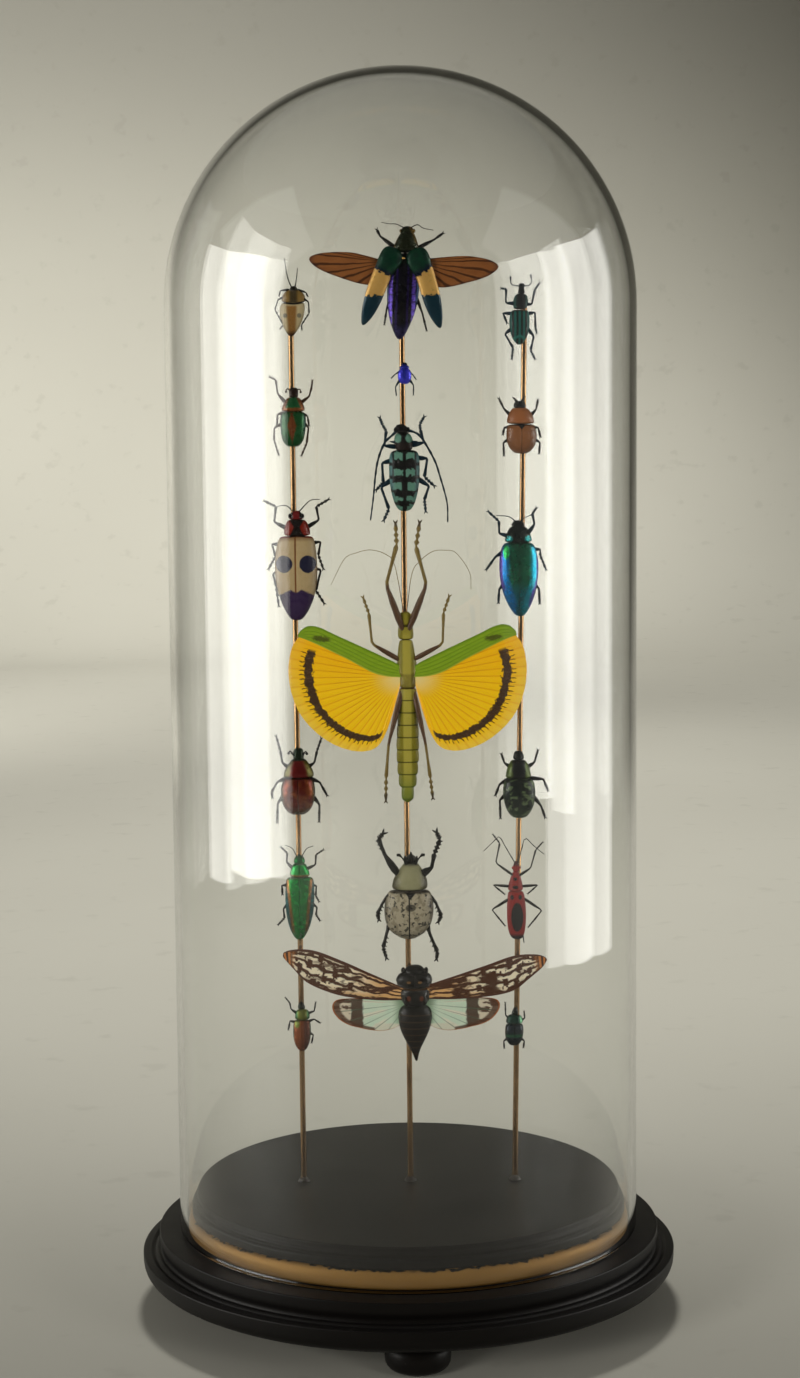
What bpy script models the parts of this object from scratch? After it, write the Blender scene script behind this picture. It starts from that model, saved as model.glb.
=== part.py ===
"""Insect display dome: eighteen dry insects on three rods, on a turned black base under a glass dome.

Frame: metres, +Z up, origin on the ground at the middle of the base. The insects face -Y, and +X is to
the right of someone who looks at them. Sizes are written in millimetres and turned to metres by MM.
"""
from math import cos, pi, radians, sin

import bmesh
import bpy
from mathutils import Vector

MM = 0.001
GAP = 0.3                  # clearance between pieces that touch
ROUND_STEPS = 36           # facets round the large turned pieces

# Bun feet
FOOT_HEIGHT = 13.0
FOOT_RADIUS = 13.0
FOOT_CIRCLE = 86.0         # radius of the circle that the feet stand on
FOOT_ANGLES = {"foot_front": -88.0, "foot_right": 32.0, "foot_left": 152.0}

# Two-tier plinth
LOWER_RADIUS = 110.6
LOWER_HEIGHT = 10.4
LEDGE_RADIUS = 103.7
LEDGE_HEIGHT = 8.8
PLINTH_BOTTOM = FOOT_HEIGHT + GAP
LEDGE = PLINTH_BOTTOM + LOWER_HEIGHT + LEDGE_HEIGHT

# Raised platform and the gilt bead round its foot
PLATFORM_RADIUS = 90.0
PLATFORM_TOP = LEDGE + 17.0
PLATFORM_NECK = 86.0       # the bead sits on this narrower foot
BEAD_HEIGHT = 8.2
BEAD_RADIUS = 91.5
BEAD_BOTTOM = LEDGE + GAP

# Glass dome
GLASS_RADIUS = 95.0
GLASS_WALL = 2.7
GLASS_HEIGHT = 472.5
CAP_RISE = 94.0            # height of the rounded top
CAP_STEPS = 7
GLASS_BOTTOM = LEDGE + GAP

# Rods: foot x, top x and top height
ROD_RADIUS = 1.15
ROD_SOCKET = 6.0           # depth of the socket that a rod is glued into
RODS = {
    "rod_left": (-43.5, -44.2, 412.0),
    "rod_centre": (1.1, 0.5, 428.0),
    "rod_right": (44.7, 50.1, 413.5),
}

# Insects rest against the front of the rods
BELLY = ROD_RADIUS + 0.35
FOOT_LEVEL = BELLY + 0.7   # how far in front of the rods a leg ends
WING_THICKNESS = 0.5


def clear_scene():
    for leftover in list(bpy.data.objects):
        bpy.data.objects.remove(leftover, do_unlink=True)


def material(name, colour, roughness, metallic=0.0, transmission=0.0):
    made = bpy.data.materials.new(name)
    made.use_nodes = True
    shader = made.node_tree.nodes["Principled BSDF"]
    shader.inputs["Base Color"].default_value = (*colour, 1.0)
    shader.inputs["Roughness"].default_value = roughness
    shader.inputs["Metallic"].default_value = metallic
    shader.inputs["Transmission Weight"].default_value = transmission
    return made


def object_from(name, shape, finish):
    """Makes an object from a bmesh whose points are in millimetres."""
    bmesh.ops.scale(shape, vec=(MM, MM, MM), verts=shape.verts)
    bmesh.ops.recalc_face_normals(shape, faces=shape.faces)
    mesh = bpy.data.meshes.new(name)
    shape.to_mesh(mesh)
    shape.free()
    made = bpy.data.objects.new(name, mesh)
    bpy.context.scene.collection.objects.link(made)
    if finish:
        mesh.materials.append(finish)
    mesh.shade_smooth()
    mesh.set_sharp_from_angle(angle=radians(35))
    return made


def turned(name, profile, finish, steps=ROUND_STEPS):
    """Turns a closed outline of (radius, height) points round the Z axis."""
    shape = bmesh.new()
    rim = [shape.verts.new((radius, 0.0, height)) for radius, height in profile]
    outline = [shape.edges.new((rim[i], rim[(i + 1) % len(rim)])) for i in range(len(rim))]
    bmesh.ops.spin(
        shape,
        geom=rim + outline,
        axis=(0.0, 0.0, 1.0),
        cent=(0.0, 0.0, 0.0),
        angle=2 * pi,
        steps=steps,
        use_merge=True,
    )
    bmesh.ops.remove_doubles(shape, verts=shape.verts, dist=0.01)
    bmesh.ops.dissolve_degenerate(shape, edges=shape.edges, dist=0.01)
    return object_from(name, shape, finish)


def arc(centre, radius, start, end, count):
    """Points on an arc in the (radius, height) plane, angles in degrees."""
    angles = [radians(start + (end - start) * i / count) for i in range(count + 1)]
    return [(centre[0] + radius * cos(a), centre[1] + radius * sin(a)) for a in angles]


def rod_at(name, height):
    """The middle of a rod at a height, as x in millimetres."""
    foot, top, top_height = RODS[name]
    return foot + (top - foot) * (height - PLATFORM_TOP) / (top_height - PLATFORM_TOP)


def straight_rod(name, radius, low, high, finish, sides=10):
    """A round rod along one of the three rod lines, between two heights."""
    shape = bmesh.new()
    ends = []
    for height in (low, high):
        centre = rod_at(name, height)
        ends.append([
            shape.verts.new((centre + radius * cos(2 * pi * i / sides), radius * sin(2 * pi * i / sides), height))
            for i in range(sides)
        ])
    for i in range(sides):
        j = (i + 1) % sides
        shape.faces.new((ends[0][i], ends[0][j], ends[1][j], ends[1][i]))
    shape.faces.new(ends[0])
    shape.faces.new(ends[1])
    return object_from(name, shape, finish)


def build_base(black, gilt):
    for name, angle in FOOT_ANGLES.items():
        bun = [(0.0, 0.0), (FOOT_RADIUS * 0.62, 0.0)]
        bun += arc((FOOT_RADIUS - 5.5, 6.5), 5.5, -50, 50, 2)
        bun += [(FOOT_RADIUS * 0.75, FOOT_HEIGHT), (0.0, FOOT_HEIGHT)]
        foot = turned(name, bun, black, steps=14)
        reach = FOOT_CIRCLE * MM
        foot.location = (reach * cos(radians(angle)), reach * sin(radians(angle)), 0.0)

    tier = PLINTH_BOTTOM + LOWER_HEIGHT
    cove_radius = 1.6
    turned("plinth", [
        (0.0, PLINTH_BOTTOM),
        (LOWER_RADIUS - 1.6, PLINTH_BOTTOM),
        (LOWER_RADIUS - 0.5, PLINTH_BOTTOM + 0.9),
        (LOWER_RADIUS, PLINTH_BOTTOM + 3.0),
        (LOWER_RADIUS, tier - 0.8),
        (LOWER_RADIUS - 0.6, tier),
        (LEDGE_RADIUS + 2.4, tier),
        (LEDGE_RADIUS + 0.6, tier + 0.4),
        (LEDGE_RADIUS - cove_radius, tier + 1.6),
        (LEDGE_RADIUS - 0.4, tier + 3.4),
        (LEDGE_RADIUS, LEDGE - 1.0),
        (LEDGE_RADIUS - 1.0, LEDGE),
        (0.0, LEDGE),
    ], black)

    platform = turned("platform", [
        (0.0, LEDGE + GAP),
        (PLATFORM_NECK, LEDGE + GAP),
        (PLATFORM_NECK, BEAD_BOTTOM + BEAD_HEIGHT + GAP),
        (PLATFORM_RADIUS, BEAD_BOTTOM + BEAD_HEIGHT + GAP),
        (PLATFORM_RADIUS, PLATFORM_TOP - 2.0),
        (PLATFORM_RADIUS - 0.6, PLATFORM_TOP - 1.4),
        (PLATFORM_RADIUS - 0.6, PLATFORM_TOP - 0.6),
        (PLATFORM_RADIUS - 1.4, PLATFORM_TOP),
        (0.0, PLATFORM_TOP),
    ], black)
    for name in RODS:
        drill = straight_rod(name, ROD_RADIUS + GAP, PLATFORM_TOP - ROD_SOCKET - GAP, PLATFORM_TOP + 3.0, None)
        drill.name = "drill_" + name
        drill.hide_render = True
        drill.display_type = "WIRE"
        socket = platform.modifiers.new("socket_" + name, "BOOLEAN")
        socket.operation = "DIFFERENCE"
        socket.object = drill

    middle = BEAD_BOTTOM + BEAD_HEIGHT / 2
    bulge = BEAD_RADIUS - PLATFORM_NECK - GAP
    face = [
        (PLATFORM_NECK + GAP + bulge * cos(a) ** 0.7, middle + BEAD_HEIGHT / 2 * sin(a))
        for a in [radians(-75 + 30 * i) for i in range(6)]
    ]
    inner = [(PLATFORM_NECK + GAP, face[-1][1]), (PLATFORM_NECK + GAP, face[0][1])]
    turned("gilt_bead", face + inner, gilt)


def build_glass(glass):
    """A straight tube closed by a rounded cap, open below, one wall thick all over."""
    shoulder = GLASS_BOTTOM + GLASS_HEIGHT - CAP_RISE
    quarter = [pi / 2 * i / CAP_STEPS for i in range(CAP_STEPS + 1)]
    outer = [(GLASS_RADIUS * cos(a), shoulder + CAP_RISE * sin(a)) for a in quarter]
    inner = [
        ((GLASS_RADIUS - GLASS_WALL) * cos(a), shoulder + (CAP_RISE - GLASS_WALL) * sin(a)) for a in quarter
    ]
    outer[-1] = (0.0, outer[-1][1])
    inner[-1] = (0.0, inner[-1][1])
    rim = [(GLASS_RADIUS - GLASS_WALL, GLASS_BOTTOM), (GLASS_RADIUS, GLASS_BOTTOM)]
    turned("glass_dome", outer + inner[::-1] + rim, glass)


def build_rods(copper):
    for name, (_, _, top) in RODS.items():
        straight_rod(name, ROD_RADIUS, PLATFORM_TOP - ROD_SOCKET, top, copper)


# Insects. Each is described in its own plane: u to the right, v up, and w out from the rods.

BODY_SIDES = 8
LIMB_SIDES = 3


def body_shape(stations):
    """A body as rounded sections along v. A station is (v, middle u, half width, thickness)."""
    shape = bmesh.new()
    rings = []
    for v, middle, half, thick in stations:
        ring = []
        for i in range(BODY_SIDES):
            turn = 2 * pi * (i + 0.5) / BODY_SIDES
            w = BELLY + thick / 2 + thick / 2 * sin(turn)
            ring.append(shape.verts.new((middle + half * cos(turn), -w, v)))
        rings.append(ring)
    for low, high in zip(rings, rings[1:]):
        for i in range(BODY_SIDES):
            j = (i + 1) % BODY_SIDES
            shape.faces.new((low[i], low[j], high[j], high[i]))
    shape.faces.new(rings[0])
    shape.faces.new(rings[-1])
    return shape


def limb_shape(points, radius, level):
    """A leg or feeler as a thin rod along (u, v) points. It leaves the body at w = level."""
    last = len(points) - 1
    path = [Vector((u, -(level + (FOOT_LEVEL - level) * i / last), v)) for i, (u, v) in enumerate(points)]
    shape = bmesh.new()
    rings = []
    for i, point in enumerate(path):
        before = (point - path[i - 1]).normalized() if i else None
        after = (path[i + 1] - point).normalized() if i < last else None
        along = (before or after) + (after or before)
        along.normalize()
        side = along.cross(Vector((0.0, 1.0, 0.0))).normalized()
        out = side.cross(along).normalized()
        spread = 1.0
        if before and after:
            spread = min(1.5, 1.0 / max(0.4, abs(along.dot(before))))
        thin = radius * (1.0 - 0.35 * i / last)
        ring = []
        for k in range(LIMB_SIDES):
            turn = 2 * pi * k / LIMB_SIDES
            offset = side * (spread * cos(turn)) + out * sin(turn)
            ring.append(shape.verts.new(point + offset * thin))
        rings.append(ring)
    for low, high in zip(rings, rings[1:]):
        for k in range(LIMB_SIDES):
            m = (k + 1) % LIMB_SIDES
            shape.faces.new((low[k], low[m], high[m], high[k]))
    shape.faces.new(rings[0])
    shape.faces.new(rings[-1])
    return shape


def wing_shape(outline, level, drop, thickness=WING_THICKNESS):
    """A thin wing from its (u, v) outline. Its w falls from level by drop for each millimetre of u."""
    shape = bmesh.new()
    layers = []
    for lift in (0.0, thickness):
        layers.append([shape.verts.new((u, -(level + lift - drop * abs(u)), v)) for u, v in outline])
    count = len(outline)
    for i in range(count):
        j = (i + 1) % count
        shape.faces.new((layers[0][i], layers[0][j], layers[1][j], layers[1][i]))
    shape.faces.new(layers[0])
    shape.faces.new(layers[1])
    return shape


def mirrored(points):
    return [(-u, v) for u, v in points]


def insect(name, place, finish, body, legs=(), feelers=(), wings=(), leg=0.45, feeler=0.3, level=1.5):
    """Joins the body, legs, feelers and wings of one dry insect and puts it at place, an (x, z).

    leg and feeler are their radii, and level is how far above its belly the legs leave the body.
    """
    whole = object_from(name, body_shape(body), finish)
    added = [limb_shape(points, leg, BELLY + level) for points in legs]
    added += [limb_shape(points, feeler, BELLY + 1.0) for points in feelers]
    added += [wing_shape(*wing) for wing in wings]
    for i, shape in enumerate(added):
        piece = object_from(f"{name}_{i}", shape, finish)
        join = whole.modifiers.new("join", "BOOLEAN")
        join.operation = "UNION"
        join.object = piece
        with bpy.context.temp_override(object=whole, active_object=whole):
            bpy.ops.object.modifier_apply(modifier=join.name)
        bpy.data.objects.remove(piece, do_unlink=True)
    whole.location = (place[0] * MM, 0.0, place[1] * MM)


def centre_column(finish):
    insect(
        "open_winged_jewel_beetle", (1.2, 416.6), finish["green"],
        body=[
            (24.8, 2.0, 1.2, 1.8), (23.3, 2.0, 2.8, 3.4), (21.8, 1.7, 4.3, 4.4), (17.6, 1.2, 5.4, 5.4),
            (9.0, 0.6, 6.2, 5.6), (0.0, 0.0, 6.4, 5.6), (-9.0, -0.8, 5.0, 4.6), (-15.0, -1.2, 3.0, 3.2),
            (-19.4, -1.5, 0.7, 1.4),
        ],
        legs=[
            [(-2.0, 16.5), (-8.9, 21.8), (-9.8, 24.2)], [(4.0, 16.0), (12.5, 20.3), (16.0, 22.6)],
            [(-4.0, 1.0), (-6.6, -6.8), (-7.6, -12.9)], [(4.0, 1.0), (7.6, -8.6), (9.3, -15.5)],
        ],
        feelers=[[(0.6, 22.6), (-2.5, 26.3), (-8.3, 26.7)], [(3.4, 22.6), (7.0, 25.2), (12.2, 23.1)]],
        wings=[
            ([(-1.0, 15.0), (-14.0, 16.0), (-28.2, 15.2), (-36.8, 13.3), (-33.1, 8.8), (-14.4, 2.5), (-2.0, 7.0)],
             3.4, 0.02),
            ([(2.0, 14.6), (17.8, 12.9), (33.8, 11.6), (38.1, 8.7), (36.0, 5.5), (15.6, 0.9), (2.0, 6.4)],
             3.4, 0.02),
            ([(-0.8, 13.0), (-2.5, 17.0), (-7.0, 17.4), (-10.6, 12.0), (-15.0, 4.0), (-16.4, -7.0),
              (-15.2, -13.8), (-11.5, -9.0), (-6.2, 0.0), (-1.0, 8.0)], 5.4, 0.05, 1.4),
            ([(2.0, 12.6), (4.0, 16.6), (8.5, 17.2), (11.8, 12.0), (15.0, 4.0), (15.4, -7.0),
              (13.7, -15.0), (10.4, -9.0), (6.4, 0.0), (1.6, 7.6)], 5.4, 0.05, 1.4),
        ],
    )
    insect(
        "small_blue_beetle", (1.5, 382.8), finish["blue"],
        body=[
            (5.4, 0.0, 0.7, 1.0), (4.2, 0.0, 1.2, 1.8), (3.6, 0.0, 2.0, 2.2), (1.6, 0.0, 2.1, 2.8),
            (0.6, 0.0, 2.7, 3.2), (-1.6, 0.0, 2.6, 3.0), (-3.6, 0.0, 1.0, 1.4),
        ],
        legs=[
            [(-1.2, 2.2), (-3.6, 0.9), (-5.2, -0.6)], [(1.2, 2.0), (3.3, 0.6), (4.5, -1.2)],
            [(-1.4, -0.6), (-3.7, -4.3), (-3.4, -7.5)], [(1.4, -0.6), (3.6, -3.7), (3.5, -7.4)],
        ],
        leg=0.25,
    )
    insect(
        "banded_longhorn_beetle", (1.1, 342.4), finish["mint"],
        body=[
            (20.9, -1.3, 1.4, 2.0), (18.6, -1.1, 2.6, 3.6), (17.6, -0.6, 2.7, 4.4), (14.0, -0.3, 4.0, 5.4),
            (10.7, -0.1, 3.2, 5.2), (9.6, 0.0, 5.8, 5.6), (4.0, 0.0, 6.3, 6.4), (-6.0, 0.0, 5.6, 5.8),
            (-11.0, 0.0, 4.4, 4.6), (-14.2, 0.0, 1.6, 2.2),
        ],
        legs=[
            [(-2.4, 12.0), (-8.0, 12.6), (-7.2, 18.5), (-8.6, 20.8), (-9.7, 23.6)],
            [(2.4, 12.4), (8.0, 13.8), (6.6, 18.8), (6.4, 21.1), (8.1, 23.9)],
            [(-4.4, 6.7), (-9.0, 5.6), (-8.6, -2.2), (-11.4, -5.2)],
            [(4.4, 7.6), (9.3, 7.3), (8.1, -0.1), (12.0, -3.8)],
            [(-4.4, -0.6), (-9.5, -4.1), (-6.4, -12.9), (-8.5, -17.5)],
            [(4.4, -0.2), (9.9, -3.8), (8.0, -9.3), (8.5, -14.0)],
        ],
        feelers=[
            [(-2.4, 18.6), (-7.7, 13.9), (-10.6, 7.0), (-11.8, 0.1), (-12.6, -7.7), (-13.9, -17.5)],
            [(0.2, 18.8), (6.6, 16.3), (12.1, 6.8), (14.4, -0.1), (17.1, -10.3), (17.5, -18.7)],
        ],
    )
    fan = [
        (-1.6, 5.0), (-14.8, 10.1), (-28.6, 16.5), (-35.8, 19.9), (-40.4, 20.3), (-44.4, 16.4), (-47.8, 9.1),
        (-48.6, 1.1), (-47.1, -7.6), (-43.6, -16.3), (-37.0, -23.7), (-29.1, -28.8), (-20.5, -31.2),
        (-13.2, -29.9), (-9.0, -24.0), (-4.6, -12.0), (-1.2, -4.0),
    ]
    insect(
        "yellow_winged_stick_insect", (1.7, 261.8), finish["yellow"],
        body=[
            (25.4, -0.8, 1.2, 1.6), (23.0, -0.8, 2.2, 2.6), (20.2, -0.8, 1.8, 2.4), (17.5, -0.7, 2.8, 2.8),
            (14.4, -0.6, 2.2, 2.8), (6.0, -0.4, 3.4, 4.2), (-1.0, 0.0, 3.6, 4.4), (-5.4, 0.0, 3.2, 4.0),
            (-22.0, -0.2, 4.3, 4.2), (-38.0, -0.4, 3.2, 3.4), (-52.5, -0.5, 0.9, 1.4),
        ],
        legs=[
            [(-1.4, 17.4), (-8.4, 37.2), (-4.0, 53.1), (-4.4, 62.0)],
            [(0.2, 17.6), (7.9, 37.1), (3.8, 52.2), (5.4, 62.2)],
            [(-1.8, 5.4), (-14.4, 13.1), (-15.6, 25.4), (-17.9, 31.8)],
            [(1.4, 5.8), (14.3, 12.8), (14.8, 25.4), (17.2, 32.0)],
            [(-1.8, -4.0), (-6.0, -15.0), (-8.6, -28.0), (-9.2, -42.0), (-9.4, -52.1)],
            [(1.8, -4.0), (5.0, -15.0), (7.6, -28.0), (8.9, -42.2), (9.9, -50.9)],
        ],
        feelers=[
            [(-1.4, 23.6), (-4.8, 44.6), (-8.2, 49.2), (-14.4, 51.2), (-20.2, 50.1), (-25.3, 47.5), (-30.9, 37.0)],
            [(-0.2, 23.6), (2.1, 41.4), (5.7, 46.8), (10.7, 50.4), (15.4, 50.8), (20.0, 49.7), (25.4, 41.9),
             (26.1, 34.6)],
        ],
        wings=[(fan, 4.2, 0.03), (mirrored(fan), 4.2, 0.03)],
        leg=0.5,
    )
    insect(
        "horned_scarab_beetle", (1.4, 170.3), finish["olive"],
        body=[
            (19.1, 0.9, 0.4, 4.5), (16.6, 0.9, 0.8, 4.8), (15.6, 1.0, 3.0, 4.2), (13.6, 1.0, 3.3, 5.0),
            (12.6, 0.8, 5.4, 6.4), (8.5, 0.6, 7.4, 9.0), (4.0, 0.4, 7.2, 9.4), (3.0, 0.2, 8.6, 9.4),
            (-4.0, 0.0, 10.2, 10.4), (-11.0, -0.2, 9.4, 9.4), (-15.6, -0.3, 6.4, 6.6), (-17.7, -0.3, 2.4, 3.0),
        ],
        legs=[
            [(-4.0, 9.0), (-9.7, 17.6), (-12.3, 24.0), (-10.4, 26.0)],
            [(4.5, 9.0), (9.4, 11.7), (10.6, 17.8), (12.9, 23.7), (11.6, 26.3)],
            [(-6.5, 2.0), (-10.4, -1.9), (-13.0, -7.1), (-12.5, -9.7)],
            [(6.5, 2.0), (10.9, -2.1), (13.3, -8.1), (12.1, -10.9)],
            [(-6.5, -6.0), (-8.9, -14.3), (-10.8, -21.1), (-9.5, -25.9)],
            [(6.0, -6.0), (7.9, -15.2), (11.6, -23.3), (11.2, -26.5)],
        ],
        leg=0.6, level=3.6,
    )
    insect(
        "mint_winged_cicada", (3.4, 125.2), finish["brown"],
        body=[
            (16.2, 0.1, 2.2, 3.0), (14.4, 0.1, 5.0, 5.6), (12.6, 0.0, 5.4, 7.0), (11.0, -0.2, 7.0, 8.2),
            (7.0, 0.2, 7.2, 9.0), (1.0, 0.2, 6.6, 9.0), (-3.0, 0.2, 7.2, 8.8), (-9.0, 0.1, 6.4, 7.4),
            (-15.0, 0.0, 4.0, 5.0), (-20.0, 0.2, 1.4, 2.4), (-24.6, 0.6, 0.6, 1.2),
        ],
        wings=[
            ([(-3.0, 7.0), (-17.6, 13.4), (-28.9, 18.5), (-40.3, 22.9), (-47.9, 23.7), (-53.6, 22.4),
              (-54.2, 20.5), (-50.3, 16.0), (-44.3, 9.8), (-34.4, 5.4), (-25.3, 3.4), (-3.0, 2.6)], 6.6, 0.05),
            ([(3.0, 8.0), (17.6, 12.6), (30.0, 16.6), (41.0, 20.2), (50.0, 20.6), (54.8, 18.1), (52.6, 15.0),
              (47.2, 10.4), (41.1, 5.8), (31.9, 3.6), (3.0, 3.0)], 6.6, 0.05),
            ([(-3.0, 1.8), (-22.0, 2.6), (-33.7, 1.1), (-33.0, -2.0), (-29.2, -6.7), (-23.1, -9.1),
              (-14.0, -10.8), (-7.0, -9.0), (-3.0, -4.0)], 4.8, 0.04),
            ([(3.0, 1.8), (22.0, 2.6), (35.0, 1.0), (34.4, -2.0), (30.0, -6.7), (23.1, -9.1),
              (14.0, -10.8), (7.0, -9.0), (3.0, -4.0)], 4.8, 0.04),
        ],
    )


def left_column(finish):
    insect(
        "cream_shield_bug", (-43.4, 409.1), finish["cream"],
        body=[
            (9.9, 0.6, 0.8, 1.2), (8.6, 0.6, 1.4, 2.0), (7.6, 0.6, 3.6, 2.8), (3.6, 0.6, 5.0, 3.6),
            (1.0, 0.0, 4.7, 3.4), (-4.5, -0.3, 3.4, 2.8), (-10.0, -0.6, 0.8, 1.2),
        ],
        legs=[
            [(-2.4, 6.0), (-5.6, 4.6), (-6.9, 0.6), (-3.6, -5.5), (-5.0, -6.9)],
            [(3.0, 6.0), (6.6, 3.6), (6.8, -0.9), (3.6, -5.6), (3.8, -7.3)],
        ],
        feelers=[[(-0.2, 8.8), (-1.8, 14.0), (-2.9, 21.1)], [(1.2, 8.8), (1.9, 13.0), (2.3, 17.2)]],
        leg=0.35, feeler=0.25,
    )
    insect(
        "green_flower_beetle", (-43.6, 366.6), finish["green"],
        body=[
            (12.1, 0.3, 1.4, 1.8), (9.0, 0.3, 1.9, 3.0), (7.9, 0.2, 2.8, 4.4), (3.0, 0.1, 4.9, 6.0),
            (2.2, 0.0, 4.9, 6.0), (-1.0, 0.0, 5.5, 6.6), (-8.5, -0.2, 4.8, 5.6), (-11.7, -0.2, 2.4, 2.8),
        ],
        legs=[
            [(-2.0, 5.0), (-6.1, 9.6), (-6.8, 15.2), (-9.1, 16.3)],
            [(2.0, 5.0), (6.6, 8.4), (7.8, 12.8)],
            [(-3.0, -1.6), (-7.6, -4.0), (-7.8, -8.9), (-6.1, -14.8)],
            [(3.0, -1.2), (6.2, -4.0), (5.4, -10.2), (3.2, -15.2)],
        ],
        leg=0.4,
    )
    insect(
        "cream_jewel_beetle", (-43.2, 304.8), finish["cream"],
        body=[
            (24.3, 0.3, 1.8, 2.6), (21.5, 0.3, 3.0, 4.2), (19.6, 0.5, 3.6, 5.0), (14.6, 0.6, 4.9, 6.2),
            (13.2, 0.4, 6.6, 6.4), (8.0, 0.0, 7.7, 7.4), (-2.0, -0.1, 7.2, 7.2), (-10.0, -0.2, 5.2, 5.6),
            (-16.5, -0.3, 2.8, 3.6), (-20.0, -0.3, 1.0, 1.6),
        ],
        legs=[
            [(-2.4, 16.6), (-8.6, 19.9), (-7.8, 26.1), (-12.6, 28.3)],
            [(3.0, 16.6), (9.5, 20.5), (8.5, 25.9), (13.5, 28.7)],
            [(-4.4, 10.6), (-9.6, 10.9), (-8.3, 5.9), (-11.2, 0.8)],
            [(4.4, 11.0), (10.1, 11.7), (9.1, 6.4), (11.0, 0.6)],
            [(-4.6, 1.0), (-9.4, -1.2), (-8.2, -6.0), (-7.3, -14.3)],
            [(4.6, 1.2), (10.1, 0.3), (7.9, -8.0), (11.2, -13.5)],
        ],
        feelers=[[(-0.6, 22.6), (-3.6, 26.4), (-7.4, 26.1)], [(1.2, 22.6), (6.6, 28.6), (9.9, 28.8)]],
        leg=0.5,
    )
    insect(
        "red_brown_chafer", (-43.6, 217.6), finish["chestnut"],
        body=[
            (14.6, 0.3, 1.6, 2.4), (10.6, 0.3, 2.2, 3.6), (9.4, 0.4, 3.4, 5.0), (3.6, 0.4, 5.6, 7.0),
            (2.4, 0.2, 6.2, 7.2), (-2.0, 0.0, 7.3, 8.0), (-9.0, -0.1, 6.6, 7.0), (-12.6, -0.1, 3.6, 3.6),
        ],
        legs=[
            [(-3.0, 6.0), (-6.3, 8.7), (-7.0, 13.4), (-8.7, 19.4)],
            [(3.0, 6.0), (7.9, 13.2), (9.7, 18.4)],
            [(-3.8, 2.6), (-8.4, 0.8), (-10.9, -3.4), (-10.7, -5.6)],
            [(3.8, 2.6), (8.9, 0.5), (11.7, -5.0)],
            [(-4.4, -3.0), (-8.4, -8.0), (-8.8, -15.9)],
            [(4.4, -3.0), (8.7, -8.8), (8.4, -15.7)],
        ],
        leg=0.45,
    )
    insect(
        "emerald_jewel_beetle", (-43.7, 171.1), finish["green"],
        body=[
            (16.6, 0.2, 1.6, 2.0), (13.6, 0.2, 2.4, 3.4), (12.4, 0.2, 3.0, 4.2), (8.4, 0.3, 3.9, 5.0),
            (7.4, 0.3, 5.0, 5.2), (2.0, 0.3, 5.8, 5.8), (-8.0, 0.1, 4.4, 4.8), (-14.0, -0.1, 2.4, 3.2),
            (-18.7, -0.2, 0.6, 1.2),
        ],
        legs=[
            [(-1.8, 10.4), (-5.0, 14.1), (-4.7, 17.6), (-7.2, 19.9)],
            [(1.8, 10.4), (6.8, 12.8), (7.1, 16.9), (10.0, 18.7)],
            [(-3.0, 4.6), (-7.1, 4.2), (-7.0, 0.6)],
            [(3.0, 4.8), (7.1, 4.0), (6.7, -0.1), (8.0, -2.7)],
            [(-3.0, -1.6), (-6.6, -5.4), (-6.2, -9.3), (-8.8, -12.2)],
            [(3.0, -1.4), (7.2, -5.0), (6.8, -8.3), (8.2, -10.6)],
        ],
        feelers=[[(-0.6, 15.0), (-2.6, 19.6), (-5.5, 20.8)], [(1.0, 15.0), (3.2, 19.4), (6.0, 20.4)]],
        leg=0.4, feeler=0.25,
    )
    insect(
        "copper_leaf_beetle", (-43.3, 114.9), finish["copper"],
        body=[
            (11.1, -0.3, 0.9, 1.4), (9.0, -0.2, 1.5, 2.4), (8.2, 0.2, 2.8, 3.4), (4.8, 0.2, 3.3, 4.2),
            (3.6, 0.0, 3.7, 4.4), (-4.0, -0.1, 3.7, 4.4), (-9.4, -0.1, 1.2, 1.8),
        ],
        legs=[
            [(-1.6, 6.4), (-4.5, 8.6), (-4.9, 11.0), (-6.6, 13.0)],
            [(1.6, 6.4), (5.1, 7.6), (5.7, 10.9)],
            [(-2.0, 2.8), (-4.9, 3.6), (-5.7, -0.2)],
            [(2.0, 3.0), (5.0, 4.2), (7.3, 2.5)],
            [(2.0, -1.0), (4.6, -2.4), (3.9, -5.8)],
        ],
        leg=0.3,
    )


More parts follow.
